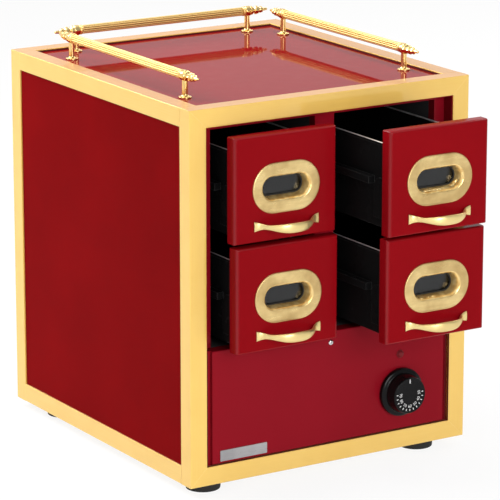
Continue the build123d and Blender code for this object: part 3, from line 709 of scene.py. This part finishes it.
def quarter(steps):
    """Angles of a quarter turn, with both ends."""
    return [pi / 2 * step / steps for step in range(steps + 1)]


def around(sides):
    """Angles of a full turn, without the last."""
    return [tau * side / sides for side in range(sides)]


def rounded(corners, steps=5):
    """Outline through (x, y) or (x, y, radius) corners, with a curve at each corner."""
    path = []
    for number, corner in enumerate(corners):
        here = Vector(corner[:2])
        if len(corner) == 2 or number in (0, len(corners) - 1):
            path.append(here)
            continue
        back = Vector(corners[number - 1][:2]) - here
        ahead = Vector(corners[number + 1][:2]) - here
        angle = back.angle(ahead)
        shorter = min(back.length, ahead.length)
        reach = min(corner[2] / tan(angle / 2), curve_limit * shorter)
        first = here + back.normalized() * reach
        last = here + ahead.normalized() * reach
        for step in range(steps + 1):
            s = step / steps
            path.append((1 - s) ** 2 * first + 2 * s * (1 - s) * here + s ** 2 * last)
    return path


def turned(corners, sides):
    """Rings about +Z through (radius, height) or (radius, height, round) corners in mm."""
    return [[Vector((radius * cos(angle), radius * sin(angle), height)) * mm
             for angle in around(sides)] for radius, height in rounded(corners)]


# %% Finished pieces
same_point = 1e-7


def make_piece(name, shapes, material, body, replaced=(), place=Vector(), crease=34):
    """One named object from (points, faces) shapes, at a point or by a matrix, on a body."""
    stand = place if isinstance(place, Matrix) else Matrix.Translation(place)
    work = bmesh.new()
    for points, faces in shapes:
        corners = [work.verts.new(stand @ Vector(point)) for point in points]
        for face in faces:
            work.faces.new([corners[index] for index in face])
    bmesh.ops.remove_doubles(work, verts=work.verts, dist=same_point)
    bmesh.ops.dissolve_degenerate(work, edges=work.edges, dist=same_point)
    bmesh.ops.recalc_face_normals(work, faces=work.faces)
    mesh = bpy.data.meshes.new(name)
    work.to_mesh(mesh)
    work.free()
    mesh.shade_smooth()
    mesh.set_sharp_from_angle(angle=radians(crease))
    mesh.materials.append(material)
    piece = add_object(name, mesh)
    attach(piece, body)
    if replaced:
        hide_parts(*replaced)
    return piece


# %% [markdown]
# ## Drawer fronts
# Each front is a thick plate, sprayed red, whose upright edges have a generous round and whose
# upper and lower edges a small one. The light streak down its edge comes from that round, so it
# is real geometry here: the rings step round the edge, and a last ring leads into the window.

# %% Slots and plate outlines
slot_steps = 28
plate_corner = 1.2 * mm
corner_steps = 4


def grown(size, change):
    """Slot size (length, height) with both made larger, or smaller below 0."""
    return tuple(value + change for value in size)


def between(first, second, share):
    """Slot size part of the way from one to another."""
    return tuple(a + (b - a) * share for a, b in zip(first, second))


def stadium(size, y):
    """Ring of a slot outline in X and Z, with round ends, about the origin."""
    radius = size[1] / 2
    straight = size[0] / 2 - radius
    ring = []
    for side in (1, -1):
        for step in range(slot_steps + 1):
            angle = -side * pi / 2 + pi * step / slot_steps
            ring.append(Vector((side * straight + radius * cos(angle), y, radius * sin(angle))))
    return ring


def plate_ring(half_x, half_z, y):
    """Ring of a rectangle outline in X and Z with small round corners, about the origin."""
    ring = []
    quarters = ((1, -1, -pi / 2), (1, 1, 0), (-1, 1, pi / 2), (-1, -1, pi))
    for x_side, z_side, begin in quarters:
        for turn in quarter(corner_steps):
            x = x_side * (half_x - plate_corner) + plate_corner * cos(begin + turn)
            z = z_side * (half_z - plate_corner) + plate_corner * sin(begin + turn)
            ring.append(Vector((x, y, z)))
    return ring


def holed_face(outer, hole):
    """Flat face between an outline and a hole in it."""
    faces = tessellate_polygon([outer, hole])
    return outer + hole, [tuple(face) for face in faces]


# %% Drawer front plates
side_round = 4.5 * mm
level_round = 2.4 * mm
edge_rings = 9
hole_margin = 2.4 * mm

glass_low, glass_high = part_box("drawer_glass_upper_left")
window_hole = grown((glass_high.x - glass_low.x, glass_high.z - glass_low.z), hole_margin)


def drawer_plate(drawer):
    """Front plate of one drawer, with the window cut through."""
    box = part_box("drawer_front_" + drawer)
    size = box[1] - box[0]
    centre = middle(box, y=box[0].y)
    rings = [plate_ring(size.x / 2, size.z / 2, size.y)]
    rings += [plate_ring(size.x / 2 - side_round * (1 - cos(turn)),
                         size.z / 2 - level_round * (1 - cos(turn)),
                         side_round * (1 - sin(turn))) for turn in quarter(edge_rings)]
    rise = Vector((0, 0, middle(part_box("drawer_bezel_" + drawer)).z - centre.z))
    hole_front = [point + rise for point in stadium(window_hole, 0)]
    hole_back = [point + rise for point in stadium(window_hole, size.y)]
    shapes = [skin(rings), holed_face(rings[-1], hole_front), skin([hole_front, hole_back]),
              holed_face(hole_back, rings[0])]
    return make_piece("drawer_front_plate_" + drawer, shapes, red_drawer, "drawer_" + drawer,
                      ["drawer_front_" + drawer], centre)


plates = [drawer_plate(drawer) for drawer in DRAWERS]
print("drawer fronts:", [len(plate.data.polygons) for plate in plates], "faces")

# %% [markdown]
# ## Folded lips, seal and panel bead
# The red sheet behind the drawers is folded forward along the gold tubes, so no tube shows its
# inner side. Round the top sheet runs a dark strip, and the control panel has a dark bead at its
# edges and a fold line beside the right one; their dark colour is painted shade. All are thin
# and long, so a small section carried straight along, or round four corners, is all that they
# need.

# %% Lips of the red sheet
lip_thickness = 1.0 * mm
lip_setback = 1.3 * mm


def straight_bar(section, ends, level=False):
    """Bar of an (across, y) section: upright between two heights, or level between two X."""
    return skin([[Vector((end, y, across) if level else (across, y, end))
                  for across, y in section] for end in ends], caps=True)


post_low, post_high = islands("front_posts")[0]
stile_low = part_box("face_stiles")[0]
opening_left, opening_right = post_high.x, -post_high.x
opening_bottom, opening_top = stile_low.z, islands("front_rails")[1][0].z
lip_front = post_low.y + lip_setback
lip_section = ((0, stile_low.y), (0, lip_front), (lip_thickness, lip_front),
               (lip_thickness, stile_low.y))
lips = [straight_bar([(side + across, y) for across, y in lip_section],
                     (opening_bottom, opening_top))
        for side in (opening_left, opening_right - lip_thickness)]
lips.append(straight_bar([(opening_top - across, y) for across, y in lip_section],
                         (opening_left + lip_thickness, opening_right - lip_thickness),
                         level=True))
make_piece("front_sheet_lip", lips, red_panel, "cabinet")
print("lips:", len(lips))

# %% Dark strip round the top, painted shade
top_strip_width = 1.8 * mm

top_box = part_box("top_panel")
sheet_top = top_box[1].z
rail_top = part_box("side_rails_top")[1].z
# The strip's section: how far inward from the sheet's edge, and how high
top_strip_section = ((0.05 * mm, sheet_top), (0.05 * mm, rail_top - 1.2 * mm),
                (0.5 * mm, rail_top - 1.3 * mm), (top_strip_width, sheet_top + 0.3 * mm),
                (top_strip_width, sheet_top))
top_half = (top_box[1] - top_box[0]) / 2
top_middle = middle(top_box, z=0)
corners = [[top_middle + Vector((x * (top_half.x - inward), y * (top_half.y - inward), height))
            for inward, height in top_strip_section] for x, y in ((-1, -1), (1, -1), (1, 1), (-1, 1))]
# The dark strip round the top sheet is painted shade along the rails.
make_piece("top_shade_strip", [skin(corners, loop=True)], dark_painted_shade, "cabinet")
print("seal round the top:", top_strip_width, "m wide")

# %% Bead and fold line of the control panel
bead_width = 1.0 * mm
bead_rise = 0.6 * mm
bead_sunk = 0.02 * mm
right_bead_width = 1.7 * mm
fold_inset = 6.0 * mm
fold_width = 1.4 * mm
fold_rise = 0.35 * mm

panel_low, panel_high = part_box("control_panel")


def panel_bead(low, width, rise, level=False):
    """Bead or fold line on the front panel, upright or level, from its lower side; dark as painted
    shade.
    """
    section = [(low + share * width, panel_low.y + bead_sunk - out)
               for share, out in ((0, 0), (0.15, rise), (0.85, rise), (1, 0))]
    ends = (panel_low.x, panel_high.x) if level else (panel_low.z, panel_high.z)
    return straight_bar(section, ends, level)


beads = [panel_bead(panel_low.x, bead_width, bead_rise),
         panel_bead(panel_low.z, bead_width, bead_rise, level=True),
         panel_bead(panel_high.x - right_bead_width, right_bead_width, bead_rise),
         panel_bead(panel_high.x - fold_inset, fold_width, fold_rise)]
# Dark beads and fold line: painted shade at the panel's edges.
make_piece("panel_edge_bead", beads, dark_painted_shade, "cabinet")
print("beads on the panel:", len(beads))

# %% [markdown]
# ## Window surrounds
# The surround is pressed brass: a flat satin flange with a soft outer edge, whose dark edge colour
# is painted shade, and a mirror-bright barrel that opens like a trumpet from the pane to the
# flange. It is one closed skin of slot-shaped rings, and a quarter of an ellipse gives the trumpet
# its curve. The faces of the barrel take a second, brighter finish, because that part is buffed
# and the flange isn't; its sharp dark and light clouds are painted reflection.

# %% Window surrounds
throat = (57.0 * mm, 22.0 * mm)
mouth_flare = 4.9 * mm
flange_round = 0.9 * mm
barrel_play = 0.4 * mm
bright_from = 0.15 * mm
round_steps = 5
flange_shares = (0.25, 0.5, 0.75)
trumpet_steps = 12


def stadium_distance(spot, size):
    """Distance of a spot from a slot outline, below 0 inside it."""
    radius = size[1] / 2
    straight = size[0] / 2 - radius
    beyond = max(abs(spot.x) - straight, 0)
    return (beyond ** 2 + spot.z ** 2) ** 0.5 - radius


def window_surround(drawer):
    """Flange and barrel round the window of one drawer."""
    low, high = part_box("drawer_bezel_" + drawer)
    centre = middle((low, high), y=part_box("drawer_front_" + drawer)[0].y)
    outer = (high.x - low.x, high.z - low.z)
    flat_edge = grown(outer, -2 * flange_round)
    mouth = grown(throat, 2 * mouth_flare)
    barrel = grown(window_hole, -barrel_play)
    flange = centre.y - low.y
    depth = high.y - centre.y
    rings = [stadium(outer, 0)]
    rings += [stadium(between(outer, flat_edge, 1 - cos(turn)),
                      flange_round * (1 - sin(turn)) - flange) for turn in quarter(round_steps)]
    rings += [stadium(between(flat_edge, mouth, share), -flange) for share in flange_shares]
    rings += [stadium(between(mouth, throat, sin(turn)),
                      (flange + depth) * (1 - cos(turn)) - flange)
              for turn in quarter(trumpet_steps)]
    rings += [stadium(barrel, depth), stadium(barrel, 0)]
    piece = make_piece("window_surround_" + drawer, [skin(rings, loop=True)], brass_satin,
                       "drawer_" + drawer, ["drawer_bezel_" + drawer], centre)
    piece.data.materials.append(barrel_brass_painted_reflection)
    for face in piece.data.polygons:
        spot = face.center - centre
        if stadium_distance(spot, mouth) < 0 and spot.y > bright_from - flange:
            face.material_index = 1
    return piece


surrounds = [window_surround(drawer) for drawer in DRAWERS]
print("window surrounds:", [len(piece.data.polygons) for piece in surrounds], "faces")

# %% Window gaskets
gasket_width = 1.4 * mm
gasket_depth = 1.3 * mm
gasket_round = 0.35 * mm
gasket_play = 0.1 * mm


def window_gasket(drawer):
    """Black rubber lip between the barrel and the pane."""
    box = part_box("drawer_bezel_" + drawer)
    outer = grown(throat, -gasket_play)
    inner = grown(outer, -2 * gasket_width)
    rings = [stadium(outer, 0), stadium(outer, -gasket_depth),
             stadium(grown(inner, 2 * gasket_round), -gasket_depth),
             stadium(grown(inner, 0.6 * gasket_round), 0.3 * gasket_round - gasket_depth),
             stadium(inner, gasket_round - gasket_depth), stadium(inner, 0)]
    return make_piece("window_gasket_" + drawer, [skin(rings, loop=True)], rubber,
                      "drawer_" + drawer, place=middle(box, y=box[1].y))


gaskets = [window_gasket(drawer) for drawer in DRAWERS]
print("gaskets made:", len(gaskets))

# %% [markdown]
# ## Bow handles
# The pull is a flat brass strap, cast with a bow: fishtail ends flat on the plate, narrow necks
# and a deep belly. An oval travels along a smooth curve through a few chosen stations. The
# half of the bow is given, and the other half is its mirror image.

# %% Smooth path
def heading(path, number):
    """The way a path runs at one of its points."""
    return path[min(number + 1, len(path) - 1)] - path[max(number - 1, 0)]


def smooth_path(stations, steps):
    """Points of a smooth curve through rows of numbers, with some steps from row to row."""
    rows = [np.array(row, float) for row in stations]
    rows = [2 * rows[0] - rows[1], *rows, 2 * rows[-1] - rows[-2]]
    path = []
    for a, b, c, d in zip(rows, rows[1:], rows[2:], rows[3:]):
        for step in range(steps):
            s = step / steps
            path.append(0.5 * (2 * b + (c - a) * s + (2 * a - 5 * b + 4 * c - d) * s ** 2
                               + (3 * b - a - 3 * c + d) * s ** 3))
    path.append(rows[-2])
    return path


# %% Bow handles
# Stations on half of the bow, in mm: across, out from the plate, height, thickness
bow_stations = ((0.0, 22.5, 11.2, 3.8), (8.0, 22.0, 10.9, 3.9), (15.5, 19.9, 9.6, 4.0),
                (22.0, 15.8, 7.6, 4.1), (26.8, 11.6, 6.0, 4.1), (30.4, 7.4, 5.9, 3.7),
                (33.8, 3.6, 7.2, 2.9), (37.6, 1.6, 9.3, 2.3), (42.6, 1.1, 11.7, 2.0))
bow_reach = bow_stations[0][1]
bow_end_height = bow_stations[-1][2] * mm
bow_steps = 8
bow_sides = 28
bow_droop = 1.5 * mm
strap_power = 0.78
bow_crease = 50


def power_wave(value):
    """Cosine or sine with squarer shoulders, for a strap rather than an oval."""
    return abs(value) ** strap_power * (1 if value >= 0 else -1)


def bow_handle(drawer):
    """Handle of one drawer, with its ends against the plate."""
    half = [(-x, out, tall, thick) for x, out, tall, thick in bow_stations[:0:-1]]
    path = smooth_path(half + list(bow_stations), bow_steps)
    rings = []
    for number, (x, out, tall, thick) in enumerate(path):
        way = heading(path, number)
        along = Vector((way[0], -way[1], 0)).normalized()
        outward = Vector((along.y, -along.x, 0))
        centre = Vector((x * mm, -out * mm, -bow_droop * out / bow_reach))
        ring = []
        for angle in around(bow_sides):
            depth = outward * power_wave(cos(angle)) * thick / 2 * mm
            point = centre + depth + Vector((0, 0, power_wave(sin(angle)) * tall / 2 * mm))
            point.y = min(point.y, 0)
            ring.append(point)
        rings.append(ring)
    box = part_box("drawer_handle_" + drawer)
    centre = middle(box, y=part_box("drawer_front_" + drawer)[0].y,
                    z=box[1].z - bow_end_height / 2)
    return make_piece("bow_handle_" + drawer, [skin(rings, caps=True)], brass_cast,
                      "drawer_" + drawer, ["drawer_handle_" + drawer],
                      centre, bow_crease)


handles = [bow_handle(drawer) for drawer in DRAWERS]
print("handles:", [len(piece.data.polygons) for piece in handles], "faces")

# %% [markdown]
# ## Gallery rail
# Three reeded rods run between turned posts, and each post carries a beaded finial past the
# rod's end. The places come from the boxes in the frame. All of it is turned on a lathe, so
# an outline spun about its axis is the natural way, with small rounds at every corner.

# %% Gallery posts
post_sides = 56
rod_margin = 1.0 * mm
head_radius = 6.2 * mm


def facing(place, direction):
    """Matrix that stands a piece drawn along +Z at a place, pointing in a direction."""
    turn = Vector(direction).to_track_quat("Z", "Y").to_matrix().to_4x4()
    return Matrix.Translation(place) @ turn


def post_shapes(box, along):
    """Flange and stem of a post, and the round head that lies along the rod."""
    size = (box[1] - box[0]) / mm
    flange, rim = size.x / 2, head_radius / mm
    axis = size.z - rim
    stem = turned([(0, 0), (flange, 0, 0.3), (flange, 1.7, 0.5), (4.3, 2.3, 0.8),
                   (3.5, 4.0, 1.4), (3.4, axis)], post_sides)
    head = turned([(0, -4.4), (5.0, -4.4, 0.6), (rim, -3.2, 1.2), (rim, 3.2, 1.2),
                   (5.0, 4.4, 0.6), (0, 4.4)], post_sides)
    head_place = facing((0, 0, axis * mm), along)
    return [skin(stem), skin([[head_place @ point for point in ring] for ring in head])]


def rod_direction(box):
    """+Y for the side rails and +X for the back one, from where a post or a finial stands."""
    behind = middle(box).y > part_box("gallery_back_rod")[0].y - rod_margin
    return Vector((1, 0, 0)) if behind else Vector((0, 1, 0))


gallery_posts = islands("gallery_posts")
for number, box in enumerate(gallery_posts, 1):
    make_piece(f"gallery_post_{number}", post_shapes(box, rod_direction(box)), brass_turned,
               "cabinet", ["gallery_posts"], middle(box, z=box[0].z))
print("posts made:", number)

# %% Finials
finial_sides = 80
petals = 8
petal_from = 3.4 * mm
petal_depth = 0.10


def finial_rings(length):
    """Rings of a finial from its cap to its tip, along +Z; its length is in mm."""
    return turned([(0, 0), (5.8, 0, 0.4), (5.8, 2.4, 1.0), (3.0, 4.0, 1.0), (3.0, 5.4, 0.8),
                   (5.4, 7.0, 1.2), (5.3, 10.6, 1.6), (2.9, 12.6, 0.9), (4.3, 14.6, 1.0),
                   (3.9, 16.8, 1.2), (2.2, 18.6, 1.0), (2.0, 20.0, 1.0),
                   (1.5, length - 0.8, 0.8), (0, length)], finial_sides)


def add_petals(rings):
    """Press shallow lobes into the rings wherever they are wide, as on a cast bud."""
    for ring in rings:
        share = min(max((ring[0].xy.length - petal_from) / mm, 0), 1)
        for angle, point in zip(around(finial_sides), ring):
            wave = abs(sin(petals / 2 * angle))
            point.xy = point.xy * (1 - share * petal_depth * wave)
    return rings


gallery_middle = sum((middle(box) for box in gallery_posts), Vector()) / len(gallery_posts)
for number, box in enumerate(islands("gallery_finials"), 1):
    along = rod_direction(box)
    length = (box[1] - box[0]).dot(along)
    outward = along if (middle(box) - gallery_middle).dot(along) > 0 else -along
    root = middle(box) - outward * length / 2
    make_piece(f"gallery_finial_{number}", [skin(add_petals(finial_rings(length / mm)))],
               brass_turned, "cabinet", ["gallery_finials"],
               facing(root, outward))
print("finials made:", number)

# %% Reeded rods
reeds = 12
reed_points = 16
reed_power = 0.75
reed_height = 1.1 * mm
reed_sunk = 0.5 * mm
groove_faces = 1.8
rod_collar = 3.0 * mm
rod_crease = 60


def rod_ring(height, radius, reed):
    """Ring of a rod: a crest in the middle of each reed, and valleys of a given depth."""
    ring = []
    for angle in around(reeds * reed_points):
        spot = radius + reed * (abs(sin(angle * reeds / 2)) ** reed_power - 1)
        ring.append(Vector((spot * cos(angle), spot * sin(angle), height)))
    return ring


def reeded_rod(name, box, node):
    """Rod between two heads: rounded reeds with sharp valleys, and a plain collar at each end."""
    size = box[1] - box[0]
    along = Vector((1, 0, 0)) if size.x > size.y else Vector((0, 1, 0))
    half = size.dot(along) / 2
    collar = size.z / 2
    crest = collar - reed_sunk
    groove = crest + reed_height * (sin(pi * groove_faces / reed_points) ** reed_power - 1)
    # From the end of the rod inwards: distance, radius, and depth of the reeds
    end = [(0, 0, 0), (0, collar - 0.4 * mm, 0), (0.4 * mm, collar, 0),
           (rod_collar - 0.5 * mm, collar, 0), (rod_collar, collar - 0.5 * mm, 0),
           (rod_collar + 0.1 * mm, crest - reed_height, 0),
           (rod_collar + 0.8 * mm, crest, reed_height), (rod_collar + 1.4 * mm, crest, reed_height)]
    rings = [rod_ring(inset - half, radius, reed) for inset, radius, reed in end]
    rings += [rod_ring(half - inset, radius, reed) for inset, radius, reed in reversed(end)]
    piece = make_piece(name, [skin(rings)], brass_reeded, "cabinet", [node],
                       facing(middle(box), along), rod_crease)
    # Faces in the valleys take the dark brown finish, which is painted shade.
    piece.data.materials.append(groove_painted_shade)
    for face in piece.data.polygons:
        spot = face.center - middle(box)
        lengthwise = spot.dot(along)
        if abs(lengthwise) < half - rod_collar and (spot - along * lengthwise).length < groove:
            face.material_index = 1


for side, box in zip(("left", "right"), islands("gallery_side_rods")):
    reeded_rod("gallery_rod_" + side, box, "gallery_side_rods")
reeded_rod("gallery_rod_back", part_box("gallery_back_rod"), "gallery_back_rod")
print("rods with", reeds, "reeds")

# %% [markdown]
# ## Thermostat knob
# A moulded knob with a wide skirt and a face set in a fine rim. The white marks are printed on
# the face: one long mark at the top, and a scale below with plain numbers. The numbers rise
# against the clock, because turning the knob clockwise brings higher ones to the top. Text
# objects make them, each thin enough to read as ink.

# %% Knob
knob_sides = 96
knob_crease = 40
knob_inset = 1.5 * mm
face_sunk = 0.5 * mm
face_radius = 22.0 * mm
skirt_height = 5.5 * mm


def knob_rings(radius, depth):
    """Rings of the knob from its rear to the middle of its face, along +Z; sizes in mm."""
    face, skirt, sunk = face_radius / mm, skirt_height / mm, depth - face_sunk / mm
    return turned([(0, 0), (radius - 0.6, 0, 0.3), (radius, 0.8, 0.4),
                   (radius, skirt - 0.4, 0.8), (radius - 1.6, skirt + 0.5, 0.9),
                   (face + 2.0, skirt + 1.4, 1.5), (face, depth - 1.0, 0.7),
                   (face - 0.8, depth, 0.4), (face - 1.7, depth, 0.3), (face - 2.1, sunk, 0.3),
                   (0, sunk)], knob_sides)


knob_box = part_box("knob")
knob_size = (knob_box[1] - knob_box[0]) / mm
knob_radius = knob_size.x / 2
knob_depth = knob_size.y - knob_inset / mm
make_piece("thermostat_knob_body", [skin(knob_rings(knob_radius, knob_depth))], knob_black,
           "thermostat_knob", ["knob"],
           facing(middle(knob_box, y=knob_box[1].y), (0, -1, 0)), knob_crease)
print("knob radius", knob_radius, "mm, depth", knob_depth, "mm")

# %% Marks on the dial
scale_numbers = range(30, 100, 10)
scale_start = radians(-8)
scale_end = radians(188)
tick_inner = 16.4 * mm
tick_outer = 19.0 * mm
tick_width = 1.05 * mm
pointer_inner = 14.5 * mm
pointer_outer = 19.6 * mm
pointer_width = 1.3 * mm
bar_steps = 6
ink = 0.12 * mm
ink_sunk = 0.02 * mm


def printed_bar(angle, inner, outer, width):
    """Bar of ink that points away from the middle of the dial, with round ends."""
    outline = []
    for end, side in ((outer, 1), (inner, -1)):
        for step in range(bar_steps + 1):
            turn = pi * step / bar_steps - side * pi / 2
            outline.append((end + width / 2 * (cos(turn) - side), width / 2 * sin(turn)))
    return skin([[Vector((u * cos(angle) - v * sin(angle), y, u * sin(angle) + v * cos(angle)))
                  for u, v in outline] for y in (ink_sunk, -ink)], caps=True)


def scale_angle(share):
    """Direction of a mark on the dial, from 3 o'clock down and round to 9 o'clock."""
    return -(scale_start + (scale_end - scale_start) * share)


dial_centre = middle(knob_box, y=knob_box[0].y + knob_inset + face_sunk)
steps = 2 * (len(scale_numbers) - 1)
marks = [printed_bar(scale_angle(step / steps), tick_inner, tick_outer, tick_width)
         for step in range(steps + 1)]
marks.append(printed_bar(pi / 2, pointer_inner, pointer_outer, pointer_width))
make_piece("dial_marks", marks, dial_ink, "thermostat_knob", place=dial_centre)
print("marks:", len(marks))

# %% Numbers on the dial
number_radius = 13.2 * mm
number_height = 3.7 * mm
digit_share = 0.72

for number, value in enumerate(scale_numbers):
    angle = scale_angle(number / (len(scale_numbers) - 1))
    text = bpy.data.curves.new(f"dial_number_{value}", "FONT")
    text.body = str(value)
    text.size = number_height / digit_share
    text.align_x = "CENTER"
    text.align_y = "CENTER"
    text.extrude = ink / 2
    text.materials.append(dial_ink)
    label = add_object(f"dial_number_{value}", text)
    turn = Matrix.Rotation(3 * pi / 2 - angle, 4, "Y") @ Matrix.Rotation(pi / 2, 4, "X")
    spot = dial_centre + Vector((cos(angle), 0, sin(angle))) * number_radius
    label.matrix_world = Matrix.Translation(spot + Vector((0, -ink / 2, 0))) @ turn
    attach(label, "thermostat_knob")
print("dial numbers:", list(scale_numbers))

# %% [markdown]
# ## Screws, lens, feet and tray rims
# Small parts carry the scale of a picture. The screws get a domed head with a cross recess,
# the pilot lamp a domed lens with a stepped ring, the feet a soft taper with a rounded base,
# and the black trays a bright rolled rim, which is the thin light line between the drawers.

# %% Screws
screw_sides = 72
dome_steps = 12
head_height = 2.2 * mm
head_sunk = 0.2 * mm
first_tilt = 17
tilt_step = 31
slot_share = 0.16
slot_reach = 0.62
slot_depth = 0.55
slot_power = 0.4


def screw_head(radius):
    """Domed head along +Z with a cross pressed into it."""
    dome = [(radius * sin(turn) / mm, head_height * cos(turn) / mm)
            for turn in reversed(quarter(dome_steps))]
    rings = turned([(radius / mm, -head_sunk / mm), *dome], screw_sides)
    slot_half = slot_share * radius
    reach = slot_reach * radius
    for point in (point for ring in rings for point in ring):
        across, along = sorted((abs(point.x), abs(point.y)))
        if across < slot_half and along < reach:
            point.z -= (slot_depth * head_height * (1 - across / slot_half) ** slot_power
                        * (1 - (along / reach) ** 4))
    return skin(rings)


for number, box in enumerate(islands("panel_screws"), 1):
    front = middle(box).y < 0
    seat = middle(box, y=box[0].y + head_height if front else box[1].y - head_height)
    outward = Vector((0, -1 if front else 1, 0))
    tilt = Matrix.Rotation(radians(first_tilt + tilt_step * number), 4, "Z")
    make_piece(f"panel_screw_{number}", [screw_head((box[1].x - box[0].x) / 2)], chrome,
               "cabinet", ["panel_screws"], facing(seat, outward) @ tilt)
print("screws made:", number)

# %% Pilot lens
lens_sides = 48

lens_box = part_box("pilot_lens")
lens_size = (lens_box[1] - lens_box[0]) / mm
radius, depth = lens_size.x / 2, lens_size.y
lens_rings = turned([(0, 0), (radius, 0, 0.2), (radius, 0.9, 0.4), (radius - 0.9, 0.9, 0.2),
                     (radius - 1.2, 0.62 * depth, 1.2), (0.45 * radius, 0.95 * depth, 1.2),
                     (0, depth)], lens_sides)
make_piece("pilot_lens_dome", [skin(lens_rings)], lens_red, "cabinet",
           ["pilot_lens"], facing(middle(lens_box, y=lens_box[1].y), (0, -1, 0)))
print("lens radius", radius, "mm")

# %% Feet
foot_sides = 72

for number, box in enumerate(islands("feet"), 1):
    size = (box[1] - box[0]) / mm
    radius, height = size.x / 2, size.z
    rings = turned([(0, 5.0), (6.9, 5.0, 0.3), (7.0, 0, 0.5), (radius - 1.0, 0, 1.4),
                    (radius - 0.3, height - 1.8, 0.8), (radius, height - 0.9, 0.6),
                    (radius - 0.3, height, 0.3), (0, height)], foot_sides)
    make_piece(f"foot_{number}", [skin(rings)], rubber, "cabinet", ["feet"],
               middle(box, z=box[0].z))
print("feet made:", number)

# %% Tray rims
rim_radius = 1.1 * mm
rim_sunk = 0.35 * rim_radius
rim_corner = 6.0 * mm
rim_steps = 8
rim_sides = 12


def tray_rim(drawer):
    """Bright wire rolled into the rim of a tray, round its two sides and its rear."""
    low, high = max(islands("drawer_tray_" + drawer), key=lambda box: (box[1] - box[0]).x)
    left, right = low.x + rim_radius, high.x - rim_radius
    front, rear = low.y + rim_radius, high.y - rim_radius
    path = rounded([(left, front), (left, rear, rim_corner), (right, rear, rim_corner),
                    (right, front)], rim_steps)
    rings = []
    for number, spot in enumerate(path):
        along = heading(path, number).normalized()
        side = Vector((along.y, -along.x)) * rim_radius
        rings.append([Vector((*(spot + side * cos(angle)),
                              high.z - rim_sunk + rim_radius * sin(angle)))
                      for angle in around(rim_sides)])
    return make_piece("tray_rim_" + drawer, [skin(rings, caps=True)], bright_steel,
                      "drawer_" + drawer)


rims = [tray_rim(drawer) for drawer in DRAWERS]
print("tray rims made:", len(rims))
